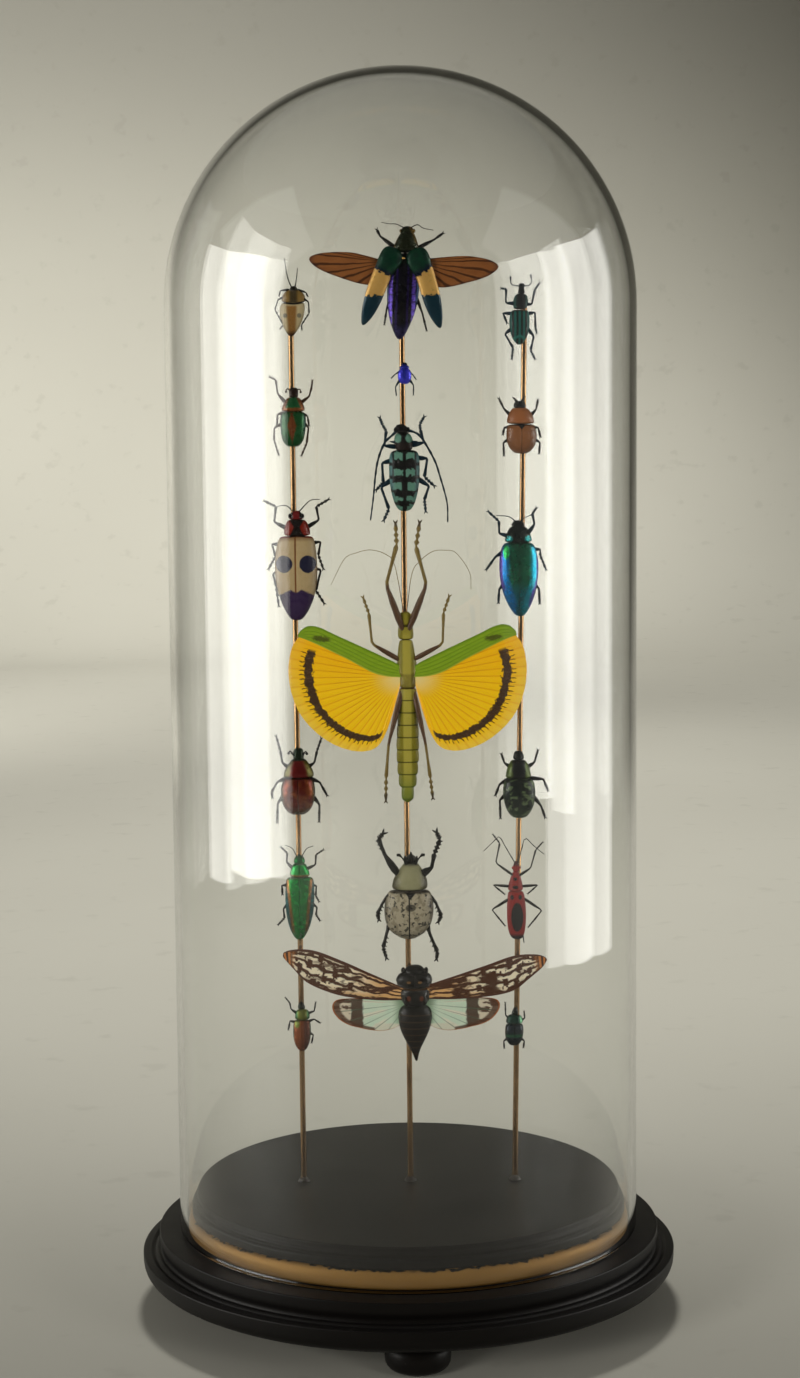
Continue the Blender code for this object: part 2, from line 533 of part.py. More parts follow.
def right_column(finish):
    insect(
        "teal_weevil", (48.2, 402.9), finish["teal"],
        body=[
            (16.2, 0.7, 0.9, 1.4), (13.2, 0.6, 1.2, 2.2), (12.4, 0.4, 2.2, 3.2), (9.5, 0.2, 3.3, 4.4),
            (6.8, 0.0, 2.6, 4.4), (5.4, -0.2, 4.0, 5.0), (0.0, -0.4, 4.3, 5.6), (-5.0, -0.4, 3.4, 4.4),
            (-7.9, -0.4, 1.0, 1.6),
        ],
        legs=[
            [(-1.4, 8.4), (-5.8, 8.7), (-5.6, 14.2), (-7.3, 14.5)],
            [(1.8, 8.2), (4.6, 8.0), (5.9, 13.9), (7.7, 16.4)],
            [(-2.0, 4.4), (-6.9, 4.6), (-5.4, 0.9)],
            [(1.8, 4.2), (5.9, 4.8), (6.1, -1.1), (6.6, -3.1)],
            [(-2.4, -0.6), (-6.2, -3.7), (-3.0, -9.1), (-3.4, -13.4)],
            [(2.0, -0.6), (5.4, -4.6), (4.1, -10.2), (5.8, -13.5)],
        ],
        feelers=[
            [(0.4, 13.8), (-3.3, 16.0), (-3.8, 19.2)],
            [(0.9, 13.8), (3.6, 16.4), (4.4, 19.9)],
        ],
        leg=0.35, feeler=0.25,
    )
    insect(
        "chestnut_scarab", (48.3, 361.2), finish["chestnut"],
        body=[
            (10.9, -0.5, 2.2, 2.4), (8.9, -0.4, 3.0, 3.8), (8.2, -0.3, 4.2, 5.0), (2.6, -0.2, 5.2, 6.6),
            (1.6, 0.0, 5.8, 6.6), (-3.0, 0.2, 6.5, 7.2), (-7.6, 0.2, 5.4, 5.8), (-9.8, 0.2, 2.8, 3.0),
        ],
        legs=[
            [(-2.6, 4.0), (-6.9, 8.2), (-8.7, 12.1)], [(2.6, 4.0), (6.1, 7.8), (6.9, 11.4)],
            [(-3.0, 1.0), (-6.7, 0.6), (-7.2, -1.8)], [(3.2, 1.0), (7.0, 0.4), (7.8, -3.0)],
            [(-3.4, -3.2), (-7.1, -5.4), (-6.9, -10.4)], [(3.6, -3.2), (7.6, -5.4), (7.4, -9.6)],
        ],
        feelers=[[(-1.2, 9.6), (-1.8, 11.6), (-3.5, 12.8)], [(0.2, 9.6), (0.6, 11.8), (2.1, 13.2)]],
        leg=0.4, feeler=0.5,
    )
    insect(
        "blue_jewel_beetle", (47.0, 304.2), finish["blue"],
        body=[
            (20.0, 0.0, 1.8, 2.8), (18.0, 0.0, 3.0, 4.4), (17.4, 0.0, 3.6, 5.0), (11.8, 0.0, 5.8, 6.8),
            (10.6, 0.0, 6.8, 6.8), (5.0, 0.1, 7.8, 7.8), (-4.0, 0.3, 7.0, 7.0), (-12.0, 0.5, 4.2, 5.0),
            (-18.4, 0.8, 0.8, 1.4),
        ],
        legs=[
            [(-3.0, 13.6), (-7.7, 15.0), (-7.8, 19.9), (-12.0, 23.8)],
            [(3.0, 13.6), (6.6, 18.6), (5.8, 22.8), (7.3, 24.9)],
            [(-4.4, 8.6), (-9.3, 5.5), (-12.8, 0.5)],
            [(4.4, 8.4), (8.9, 8.4), (8.9, 6.0), (11.3, 0.2)],
            [(-4.4, -4.0), (-7.8, -7.7), (-8.1, -12.9)],
            [(4.4, -4.0), (8.3, -7.4), (8.7, -13.4)],
        ],
        feelers=[[(-0.8, 18.6), (-5.1, 22.0), (-8.8, 22.2)], [(0.8, 18.6), (2.6, 21.2), (5.3, 22.3)]],
        leg=0.5,
    )
    insect(
        "mottled_green_chafer", (47.0, 216.4), finish["green"],
        body=[
            (13.7, -0.2, 1.8, 2.6), (10.8, -0.2, 2.4, 3.8), (9.8, -0.3, 3.6, 5.0), (3.6, -0.4, 5.4, 7.0),
            (2.4, -0.2, 6.2, 7.2), (-3.0, 0.0, 7.0, 7.8), (-10.0, 0.0, 5.8, 6.4), (-13.9, 0.0, 3.0, 3.2),
        ],
        legs=[
            [(-2.8, 6.6), (-6.0, 8.9), (-7.1, 12.2)], [(2.6, 6.6), (6.3, 9.1), (7.7, 13.7)],
            [(-3.6, 2.6), (-8.0, 0.2), (-9.6, -4.3)], [(3.4, 2.8), (9.9, 2.1), (11.8, -2.6)],
            [(-4.2, -3.0), (-8.0, -6.4), (-7.7, -13.8)], [(4.2, -3.0), (8.9, -8.9), (10.6, -13.7)],
        ],
        leg=0.45,
    )
    insect(
        "red_cotton_bug", (45.7, 169.8), finish["red"],
        body=[
            (14.6, 0.0, 0.8, 1.4), (12.2, 0.0, 1.4, 2.2), (10.2, -0.2, 1.6, 2.6), (3.4, -0.4, 3.3, 4.2),
            (2.0, -0.2, 3.6, 4.2), (-6.0, 0.0, 4.1, 4.2), (-14.0, 0.0, 2.8, 3.0), (-18.2, 0.4, 0.8, 1.2),
        ],
        legs=[
            [(-0.8, 8.4), (-8.5, 14.3), (-6.8, 22.3), (-9.5, 25.7)],
            [(0.6, 8.4), (5.8, 11.9), (8.0, 19.4), (10.8, 22.2)],
            [(-1.6, 4.2), (-9.6, 5.0), (-4.9, 0.9)],
            [(1.4, 4.2), (8.8, 4.8), (4.9, 1.1)],
            [(-1.8, -0.2), (-10.2, -5.2), (-4.8, -12.3)],
            [(1.8, 0.0), (10.4, -5.7), (5.0, -12.9)],
        ],
        feelers=[
            [(-0.5, 12.8), (-7.0, 24.9), (-13.4, 18.8)],
            [(0.5, 12.8), (3.7, 24.2), (11.6, 17.2)],
        ],
        leg=0.35, feeler=0.25,
    )
    insect(
        "dark_green_beetle", (44.6, 114.1), finish["green"],
        body=[
            (9.0, 0.6, 0.6, 1.2), (6.8, 0.4, 1.4, 2.4), (5.8, 0.1, 3.0, 3.4), (2.0, 0.0, 3.9, 4.6),
            (-3.0, -0.1, 4.0, 4.6), (-7.0, -0.1, 1.8, 2.2),
        ],
        legs=[
            [(-1.4, 4.0), (-3.6, 5.9), (-3.7, 10.8)], [(1.6, 3.0), (4.3, 4.6), (4.1, 7.0)],
            [(-1.8, -3.0), (-4.4, -5.0), (-4.2, -8.0)], [(1.6, -3.0), (4.1, -5.0), (3.8, -7.8)],
        ],
        leg=0.3,
    )


def build():
    clear_scene()
    black = material("ebonised_wood", (0.012, 0.011, 0.011), 0.28)
    gilt = material("gilt_paint", (0.48, 0.28, 0.07), 0.38, metallic=0.8)
    glass = material("clear_glass", (0.97, 0.99, 0.98), 0.02, transmission=1.0)
    copper_rod = material("copper_rod", (0.42, 0.25, 0.14), 0.4, metallic=0.9)
    shell = {
        "green": material("green_shell", (0.02, 0.16, 0.06), 0.22, metallic=0.5),
        "blue": material("blue_shell", (0.01, 0.10, 0.20), 0.22, metallic=0.5),
        "mint": material("mint_shell", (0.25, 0.45, 0.38), 0.45),
        "yellow": material("yellow_wing", (0.55, 0.48, 0.10), 0.55),
        "olive": material("olive_shell", (0.28, 0.24, 0.12), 0.3),
        "brown": material("brown_wing", (0.06, 0.035, 0.02), 0.4),
        "cream": material("cream_shell", (0.60, 0.48, 0.30), 0.35),
        "chestnut": material("chestnut_shell", (0.12, 0.02, 0.01), 0.25),
        "copper": material("copper_shell", (0.16, 0.10, 0.03), 0.25, metallic=0.6),
        "teal": material("teal_shell", (0.10, 0.30, 0.28), 0.4),
        "red": material("red_shell", (0.45, 0.04, 0.02), 0.45),
    }
    build_base(black, gilt)
    build_glass(glass)
    build_rods(copper_rod)
    centre_column(shell)
    left_column(shell)
    right_column(shell)


build()
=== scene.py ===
from math import cos, pi, radians, sin

import bpy
from mathutils import Matrix, Vector


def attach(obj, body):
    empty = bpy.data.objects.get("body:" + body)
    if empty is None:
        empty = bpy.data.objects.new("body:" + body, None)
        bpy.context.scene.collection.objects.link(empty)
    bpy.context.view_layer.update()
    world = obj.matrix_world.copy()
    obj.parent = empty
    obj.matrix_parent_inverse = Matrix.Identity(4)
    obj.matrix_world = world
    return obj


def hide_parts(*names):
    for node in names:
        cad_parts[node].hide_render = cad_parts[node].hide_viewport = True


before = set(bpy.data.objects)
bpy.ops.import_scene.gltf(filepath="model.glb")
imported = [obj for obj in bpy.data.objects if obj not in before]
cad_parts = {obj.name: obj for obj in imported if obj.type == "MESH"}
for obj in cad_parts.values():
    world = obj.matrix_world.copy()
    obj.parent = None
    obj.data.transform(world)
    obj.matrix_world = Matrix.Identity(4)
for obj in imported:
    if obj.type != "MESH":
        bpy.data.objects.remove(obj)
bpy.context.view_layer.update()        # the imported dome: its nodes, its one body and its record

MM = 0.001

# ---------------------------------------------------------------------------------------------------
# Camera. It stands about a metre in front of the dome, level with its upper half, and looks slightly
# down. The small roll is that of a hand-levelled tripod.
CAMERA_PLACE = (-0.00296, -1.05867, 0.3725)
CAMERA_TILT = 0.1099
CAMERA_YAW = 0.0014
CAMERA_ROLL = -0.0091
CAMERA_LENS = 67.97

bpy.ops.object.select_all(action="DESELECT")
bpy.ops.object.camera_add()
camera = bpy.context.object
camera.name = "camera"
camera.data.lens = CAMERA_LENS
camera.data.sensor_width = 36.0
camera.data.clip_start = 0.05
aim = Matrix.Rotation(-CAMERA_YAW, 4, "Z") @ Matrix.Rotation(pi / 2 - CAMERA_TILT, 4, "X")
camera.matrix_world = Matrix.Translation(CAMERA_PLACE) @ aim @ Matrix.Rotation(CAMERA_ROLL, 4, "Z")
bpy.context.scene.camera = camera
bpy.context.scene.view_settings.view_transform = "Standard"
paths = bpy.context.scene.cycles   # light passes four faces of glass on its way through the dome
paths.max_bounces = 9
paths.diffuse_bounces = 3
paths.glossy_bounces = 4
paths.transmission_bounces = 8
paths.caustics_reflective = False
paths.caustics_refractive = False

# ---------------------------------------------------------------------------------------------------
# Room. A smooth pale floor that sweeps up into a round wall, of painted plaster with faint stains and
# small scuffs, like a studio cove. Shade is painted into the wall's colour, darker towards its top.
ROOM_RADIUS = 3400.0
ROOM_SWEEP = 700.0          # radius of the curve between floor and wall
ROOM_HEIGHT = 3000.0


class Wire:
    """One socket of a finish. Sums and products of wires add the Math nodes that work them out."""

    def __init__(self, finish, socket):
        self.finish = finish
        self.socket = socket

    def __add__(self, other):
        return self.finish.math("ADD", self, other)

    def __radd__(self, other):
        return self.finish.math("ADD", other, self)

    def __sub__(self, other):
        return self.finish.math("SUBTRACT", self, other)

    def __rsub__(self, other):
        return self.finish.math("SUBTRACT", other, self)

    def __mul__(self, other):
        return self.finish.math("MULTIPLY", self, other)

    def __truediv__(self, other):
        return self.finish.math("DIVIDE", self, other)

    def __abs__(self):
        return self.finish.math("ABSOLUTE", self)


class Finish:
    """A material in the making. Its masks work in millimetres across (u), up (v) and out (w)."""

    def __init__(self, name, middle=(0.0, 0.0), **constants):
        self.material = bpy.data.materials.new(name)
        self.material.use_nodes = True
        self.shader = self.material.node_tree.nodes["Principled BSDF"]
        for socket, value in constants.items():
            self.shader.inputs[socket.replace("_", " ")].default_value = value
        where = self.node("TexCoord", out="Object")
        place = {
            "Vector": where, "Location": (-middle[0], 0.0, -middle[1]), "Scale": (1000.0, -1000.0, 1000.0),
        }
        self.place = self.node("Mapping", {}, place)
        parts = self.node("SeparateXYZ", {}, {0: self.place})
        self.u, self.w, self.v = [Wire(self, socket) for socket in parts.socket.node.outputs]

    def node(self, kind, settings=None, sockets=None, out=0):
        """Adds one node: its settings go in first, then the values or wires of its sockets."""
        made = self.material.node_tree.nodes.new("ShaderNode" + kind)
        for name, value in (settings or {}).items():
            setattr(made, name, value)
        for name, value in (sockets or {}).items():
            if isinstance(value, Wire):
                self.material.node_tree.links.new(value.socket, made.inputs[name])
            else:
                made.inputs[name].default_value = value
        return Wire(self, made.outputs[out])

    def math(self, operation, first, second=0.0):
        return self.node("Math", {"operation": operation}, {0: first, 1: second})

    def feed(self, **wires):
        """Links wires to the shader's own sockets."""
        for socket, wire in wires.items():
            self.material.node_tree.links.new(wire.socket, self.shader.inputs[socket.replace("_", " ")])

    def noise(self, size, stretch=(1.0, 1.0, 1.0), detail=3.0):
        """Soft random patches about size millimetres across, from 0 to 1. stretch lengthens them."""
        scale = tuple(1.0 / (size * s) for s in stretch)
        spread = self.node("VectorMath", {"operation": "MULTIPLY"}, {0: self.place, 1: scale})
        return self.node("TexNoise", {}, {"Vector": spread, "Scale": 1.0, "Detail": detail})

    def cells(self, size):
        """The distance from the middle of the nearest of many cells, each about size millimetres across."""
        scale = (1.0 / size,) * 3
        spread = self.node("VectorMath", {"operation": "MULTIPLY"}, {0: self.place, 1: scale})
        return self.node("TexVoronoi", {"feature": "F1"}, {"Vector": spread, "Scale": 1.0}, "Distance")

    def ease(self, value, low, high):
        """Runs smoothly from 0 at low to 1 at high. low may be the larger of the two."""
        limits = {"Value": value, "From Min": low, "From Max": high}
        if low > high:
            limits = {"Value": value, "From Min": high, "From Max": low, "To Min": 1.0, "To Max": 0.0}
        return self.node("MapRange", {"interpolation_type": "SMOOTHSTEP"}, limits)

    def within(self, value, low, high, soft=0.15):
        """1 between low and high, and 0 outside them."""
        return self.ease(value, low - soft, low + soft) * self.ease(value, high + soft, high - soft)

    def ruled(self, value, edge, middle):
        """A line in each whole step of value, fading in from edge to middle, as shares of a step."""
        return self.ease(abs(self.math("FRACT", value) - 0.5), edge, middle)

    def either(self, mask, *others):
        """The strongest of several masks."""
        for other in others:
            mask = self.math("MAXIMUM", mask, other)
        return mask

    def spot(self, u, v, middle, half, soft=0.2):
        """1 inside an oval with that middle and those half sizes, and 0 outside it."""
        across = (u - middle[0]) / half[0]
        up = (v - middle[1]) / half[1]
        return self.ease(across * across + up * up, 1.0 + soft, 1.0 - soft)

    def paint(self, ground, *coats):
        """Lays coats of colour over a ground colour. A coat is (mask, colour)."""
        colour = ground if isinstance(ground, Wire) else (*ground, 1.0)
        for mask, coat in coats:
            over = coat if isinstance(coat, Wire) else (*coat, 1.0)
            sockets = {0: mask, 6: colour, 7: over}
            colour = self.node("Mix", {"data_type": "RGBA"}, sockets, out=2)
        return colour

    def relief(self, height, depth, strength=1.0):
        """Turns a height into a bump that is depth millimetres deep."""
        sockets = {"Height": height, "Strength": strength, "Distance": depth * MM}
        return self.node("Bump", {}, sockets)


def turned(name, outline, steps):
    """Turns a profile of (radius, height) points in millimetres round the upright axis."""
    bpy.ops.object.select_all(action="DESELECT")
    radius, height = outline[0]
    bpy.ops.mesh.primitive_plane_add(size=MM, location=(radius * MM, 0.0, height * MM))
    piece = bpy.context.object
    piece.name = piece.data.name = name
    bpy.ops.object.transform_apply(location=True)
    bpy.ops.object.mode_set(mode="EDIT")
    bpy.ops.mesh.merge(type="CENTER")
    for (radius, height), (next_radius, next_height) in zip(outline, outline[1:]):
        move = ((next_radius - radius) * MM, 0.0, (next_height - height) * MM)
        bpy.ops.mesh.extrude_region_move(TRANSFORM_OT_translate={"value": move})
    bpy.ops.mesh.select_all(action="SELECT")
    bpy.ops.mesh.spin(steps=steps, angle=2 * pi, center=(0.0, 0.0, 0.0), axis=(0.0, 0.0, 1.0))
    bpy.ops.mesh.select_all(action="SELECT")
    bpy.ops.mesh.remove_doubles(threshold=0.01 * MM)
    bpy.ops.mesh.normals_make_consistent(inside=False)
    bpy.ops.object.mode_set(mode="OBJECT")
    bpy.ops.object.shade_smooth_by_angle(angle=radians(35))
    return piece


def rounded(corners, steps=5):
    """A turned outline from its (radius, height, rounding) corners, each rounded by a short curve."""
    outline = []
    for i, (radius, height, rounding) in enumerate(corners):
        corner = Vector((radius, height))
        if not rounding:
            outline.append(corner)
            continue
        before = Vector(corners[i - 1][:2]) - corner
        after = Vector(corners[(i + 1) % len(corners)][:2]) - corner
        start = corner + before.normalized() * min(rounding, before.length * 0.49)
        end = corner + after.normalized() * min(rounding, after.length * 0.49)
        for k in range(steps + 1):
            t = k / steps
            outline.append(start * (1 - t) ** 2 + corner * 2 * t * (1 - t) + end * t ** 2)
    return outline


sweep = [(ROOM_RADIUS - ROOM_SWEEP + ROOM_SWEEP * sin(a), ROOM_SWEEP - ROOM_SWEEP * cos(a))
         for a in [radians(6 * i) for i in range(16)]]
room = turned("room", [(0.0, 0.0), *sweep, (ROOM_RADIUS, ROOM_HEIGHT)], 96)
bpy.ops.object.mode_set(mode="EDIT")
bpy.ops.mesh.select_all(action="SELECT")
bpy.ops.mesh.flip_normals()
bpy.ops.object.mode_set(mode="OBJECT")
plaster = Finish("pale_plaster", Roughness=0.85, Specular_IOR_Level=0.2)
clouds = plaster.noise(420.0, detail=4.0)
scuffs = plaster.ease(plaster.noise(26.0, detail=6.0), 0.6, 0.72)
# painted shade: the wall's colour darkens towards its top
height_up = plaster.ease(plaster.v, 250.0, 1150.0)
tone = plaster.paint(
    (0.50, 0.487, 0.425), (clouds, (0.56, 0.547, 0.48)), (scuffs * 0.12, (0.2, 0.19, 0.15)),
    (height_up * 0.72, (0.16, 0.155, 0.135)),
)
plaster.feed(Base_Color=tone, Normal=plaster.relief(plaster.noise(3.0, detail=5.0), 0.12, 0.5))
room.data.materials.append(plaster.material)

# ---------------------------------------------------------------------------------------------------
# Lamps. Five boxes on each side show as panes in the glass: one a little behind the dome, a bright one
# beside it, a soft and a faint one in front, and a faint one tipped on its corner higher up. One spot
# lights the wall, brightest on the left, two light the floor, and two low lamps light the insects.
SKY = (0.10, 0.099, 0.092)
WARM_WHITE = (1.0, 0.985, 0.94)


def lit(lamp, name, power, in_glass=False):
    """Names a lamp of a power in watts, hidden from the camera. in_glass shows it only in shiny things."""
    lamp.name = name
    lamp.data.energy = power
    lamp.data.color = WARM_WHITE
    lamp.visible_camera = False
    lamp.visible_transmission = in_glass
    lamp.visible_glossy = in_glass
    lamp.visible_diffuse = not in_glass
    return lamp


def pane(name, start, end, reach, low, high, brightness, tip=0.0):
    """An upright box between two bearings, in degrees round from the camera's side and minus to the left.

    reach is how far it stands from the dome, low and high are its lower and upper edges, in metres, and
    brightness is in watts for each square metre. tip turns it on its corner, in degrees.
    """
    ends = [
        Vector((sin(radians(bearing)), -cos(radians(bearing)), 0.0)) * reach for bearing in (start, end)
    ]
    middle = (ends[0] + ends[1]) / 2
    inward = -middle.normalized()
    up = Vector((0.0, 0.0, 1.0))
    middle.z = (low + high) / 2
    bpy.ops.object.light_add(type="AREA", location=middle)
    box = bpy.context.object
    box.data.shape = "RECTANGLE"
    box.data.size = (ends[1] - ends[0]).length
    box.data.size_y = high - low
    upright = Matrix((up.cross(-inward), up, -inward)).transposed().to_4x4()
    box.matrix_world = Matrix.Translation(middle) @ upright @ Matrix.Rotation(radians(tip), 4, "Z")
    lit(box, name, brightness * box.data.size * box.data.size_y, in_glass=True)


def aimed(kind, place, target):
    """Adds a lamp of one kind at a place, turned towards a target, in metres."""
    bpy.ops.object.light_add(type=kind, location=place)
    lamp = bpy.context.object
    lamp.rotation_euler = (Vector(target) - Vector(place)).to_track_quat("-Z", "Y").to_euler()
    return lamp


pane("left_edge", -90.0, -107.0, 1.00, 0.02, 0.74, 9.0)
pane("left_bright", -66.0, -90.0, 1.00, 0.03, 0.74, 15.0)
pane("left_soft", -59.0, -66.0, 1.00, 0.03, 0.73, 9.5)
pane("left_faint", -54.0, -59.0, 1.00, 0.03, 0.72, 5.5)
pane("left_tip", -50.0, -95.0, 1.02, 0.50, 1.26, 1.8, 45.0)
pane("right_edge", 100.0, 116.0, 0.80, 0.0, 0.70, 7.0)
pane("right_bright", 80.0, 100.0, 0.80, 0.0, 0.70, 13.0)
pane("right_soft", 69.0, 80.0, 0.80, 0.0, 0.68, 9.0)
pane("right_faint", 46.0, 69.0, 0.80, 0.0, 0.70, 0.4)
pane("right_tip", 48.0, 90.0, 0.82, 0.45, 1.10, 1.8, 45.0)
for name, place, power in (
    ("front_left", (-1.0, -1.25, 0.50), 10.0), ("front_right", (1.05, -1.15, 0.45), 5.5),
):
    front = lit(aimed("AREA", place, (0.0, 0.0, 0.28)), name, power)
    front.data.size = 0.5
for name, place, target, power, cone in (
    ("back_spot", (-0.92, 0.35, 0.78), (-0.82, 3.2, 0.43), 415.0, 65.0),
    ("floor_spot", (0.0, 0.95, 2.2), (0.0, 0.95, 0.0), 170.0, 66.0),
    ("far_floor_spot", (0.35, 2.5, 2.2), (0.35, 2.5, 0.0), 115.0, 66.0),
):
    spot = lit(aimed("SPOT", place, target), name, power)
    spot.data.spot_size = radians(cone)
    spot.data.spot_blend = 1.0
    spot.data.shadow_soft_size = 0.2
sky = bpy.data.worlds.new("sky")
sky.use_nodes = True
sky.node_tree.nodes["Background"].inputs["Color"].default_value = (*SKY, 1.0)
sky.node_tree.nodes["Background"].inputs["Strength"].default_value = 1.0
bpy.context.scene.world = sky

# ---------------------------------------------------------------------------------------------------
# Base. A turned softwood plinth in two tiers, a raised platform and three bun feet, all ebonised and
# rubbed to a satin. The corners are eased by hand, with a bead in the cove between the two tiers.
LEDGE = 32.5                # the level of the plinth's upper face, which the dome stands on
PLATFORM_TOP = 49.5
PLINTH_CORNERS = [
    (0.0, 13.3, 0.0), (104.0, 13.3, 2.0), (110.4, 16.6, 5.0), (110.6, 23.7, 0.7), (107.2, 23.9, 0.4),
    (105.8, 23.2, 0.5), (104.7, 24.4, 0.9), (103.1, 24.2, 0.6), (102.6, 25.8, 1.2), (103.7, 27.8, 1.6),
    (103.7, LEDGE, 0.6), (0.0, LEDGE, 0.0),
]
PLATFORM_CORNERS = [
    (0.0, 32.8, 0.0), (86.0, 32.8, 0.0), (86.0, 41.3, 0.0), (90.0, 41.3, 0.5), (90.0, 44.6, 0.8),
    (88.6, 45.2, 0.5), (88.9, 46.6, 0.7), (87.9, 47.4, 0.6), (87.7, PLATFORM_TOP, 0.9),
    (0.0, PLATFORM_TOP, 0.0),
]
FOOT_CORNERS = [
    (0.0, 0.0, 0.0), (7.6, 0.0, 1.0), (13.0, 2.4, 4.0), (12.9, 10.2, 4.0), (8.8, 13.0, 1.4),
    (0.0, 13.0, 0.0),
]
FEET = {"foot_front": -88.0, "foot_right": 32.0, "foot_left": 152.0}
FOOT_CIRCLE = 86.0


def ebonised(name, shine, dust):
    """Black stained wood: long brown grain under the stain, hand rubbing, dust, fine scratches and nicks."""
    black = Finish(name, Coat_Weight=0.05, Coat_Roughness=0.25, Specular_IOR_Level=0.16)
    grain = black.noise(3.0, (14.0, 1.0, 1.0), 5.0)
    rubbed = black.noise(34.0, detail=5.0)
    specks = black.ease(black.cells(2.6), 0.1, 0.05) * black.ease(black.noise(8.0), 0.5, 0.62)
    lint = black.ease(black.noise(1.6, (1.0, 7.0, 7.0), 2.0), 0.74, 0.8)
    haze = black.noise(60.0, detail=2.0)
    tone = black.paint(
        (0.0028, 0.0025, 0.0023), (grain, (0.0062, 0.0048, 0.0040)), (haze * dust, (0.038, 0.034, 0.031)),
        (specks * dust * 1.6, (0.35, 0.33, 0.29)), (lint * dust * 0.7, (0.3, 0.29, 0.27)),
    )
    scratches = black.noise(0.7, (60.0, 1.0, 1.0), 2.0)
    height = scratches * 0.25 + black.noise(5.0, detail=4.0) * 0.5 + grain * 0.25
    black.feed(
        Base_Color=tone, Roughness=shine + rubbed * 0.16 + specks * 0.3,
        Normal=black.relief(height, 0.09, 0.55),
    )
    return black


def stands_for(piece, node, finish):
    """Gives a piece its finish and puts it in the place of a CAD node."""
    piece.data.materials.clear()
    piece.data.materials.append(finish.material)
    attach(piece, "root")
    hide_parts(node)


plinth = turned("plinth_turned", rounded(PLINTH_CORNERS), 192)
stands_for(plinth, "plinth", ebonised("ebonised_plinth", 0.42, 0.02))
platform = turned("platform_turned", rounded(PLATFORM_CORNERS), 192)
stands_for(platform, "platform", ebonised("ebonised_platform", 0.42, 0.10))
foot_black = ebonised("ebonised_foot", 0.3, 0.10)
for name, angle in FEET.items():
    foot = turned(name + "_turned", rounded(FOOT_CORNERS, 8), 48)
    foot.location = (FOOT_CIRCLE * MM * cos(radians(angle)), FOOT_CIRCLE * MM * sin(radians(angle)), 0.0)
    bpy.ops.object.transform_apply(location=True)
    stands_for(foot, name, foot_black)

# ---------------------------------------------------------------------------------------------------
# Gilt bead. A round moulding at the foot of the platform, brushed with dull gold paint. The upper edge
# of the paint is uneven where the brush ran on to the black.
BEAD_LOW, BEAD_HIGH, BEAD_IN, BEAD_OUT = 33.0, 41.0, 86.3, 91.6
BEAD_FULLNESS = 0.42        # 1 is a plain round, and less is squarer
middle_height = (BEAD_LOW + BEAD_HIGH) / 2
half_height = (BEAD_HIGH - BEAD_LOW) / 2
bulge = [
    (BEAD_IN + (BEAD_OUT - BEAD_IN) * cos(a) ** BEAD_FULLNESS, middle_height + half_height * sin(a))
    for a in [radians(-88 + 11 * i) for i in range(17)]
]
bead = turned(
    "gilt_bead_turned", [(BEAD_IN, BEAD_LOW), *bulge, (BEAD_IN, BEAD_HIGH), (BEAD_IN, BEAD_LOW)], 240,
)
gilt = Finish("gilt_paint", Metallic=0.3, Specular_IOR_Level=0.2)
strokes = gilt.noise(2.2, (9.0, 9.0, 0.5), 4.0)
patches = gilt.noise(17.0, detail=4.0)
ragged = gilt.v + (gilt.noise(2.6, detail=5.0) - 0.5) * 2.6 + (gilt.noise(24.0) - 0.5) * 1.8
bare = gilt.ease(ragged, 40.5, 40.8)
# painted shade: the foot of the bead, in the crease by the ledge, is darkened
foot_shade = gilt.ease(gilt.v, 34.6, 33.2)
gold = gilt.paint(
    (0.30, 0.155, 0.034), (strokes, (0.41, 0.23, 0.058)), (patches * 0.5, (0.26, 0.125, 0.025)),
    (foot_shade * 0.7, (0.10, 0.05, 0.015)), (bare, (0.010, 0.009, 0.008)),
)
gilt.feed(Base_Color=gold, Roughness=0.36 + strokes * 0.2, Normal=gilt.relief(strokes + patches, 0.08, 0.5))
stands_for(bead, "gilt_bead", gilt)

# ---------------------------------------------------------------------------------------------------
# Glass dome. Blown in one piece, straight sided with a round top and one wall thick all over, ground
# flat at its lip. It only stands on the ledge, round the bead.
GLASS_OUT, GLASS_WALL = 95.0, 2.7
GLASS_LOW, GLASS_TOP, CAP_RISE = 32.8, 505.3, 94.0
CAP_STEPS = 40
LIP_EASING, LIP_RISE = 0.7, 0.8     # the lip's corners are ground off by this much across and up


def cap(radius, rise):
    """The rounded top of the dome, from its shoulder to its middle."""
    shoulder = GLASS_TOP - CAP_RISE
    turns = [pi / 2 * i / CAP_STEPS for i in range(CAP_STEPS)]
    return [*[(radius * cos(a), shoulder + rise * sin(a)) for a in turns], (0.0, shoulder + rise)]


inner = GLASS_OUT - GLASS_WALL
lip = [
    (inner, GLASS_LOW + LIP_RISE), (inner + LIP_EASING, GLASS_LOW),
    (GLASS_OUT - LIP_EASING, GLASS_LOW), (GLASS_OUT, GLASS_LOW + LIP_RISE),
]
wall = [*lip, *cap(GLASS_OUT, CAP_RISE), *cap(inner, CAP_RISE - GLASS_WALL)[::-1], lip[0]]
glass = turned("glass_dome_blown", wall, 256)
clear = Finish("clear_glass", Roughness=0.0, IOR=1.47, Transmission_Weight=1.0)
clear.shader.inputs["Base Color"].default_value = (0.985, 0.99, 0.98, 1.0)
stands_for(glass, "glass_dome", clear)
glass.visible_shadow = False

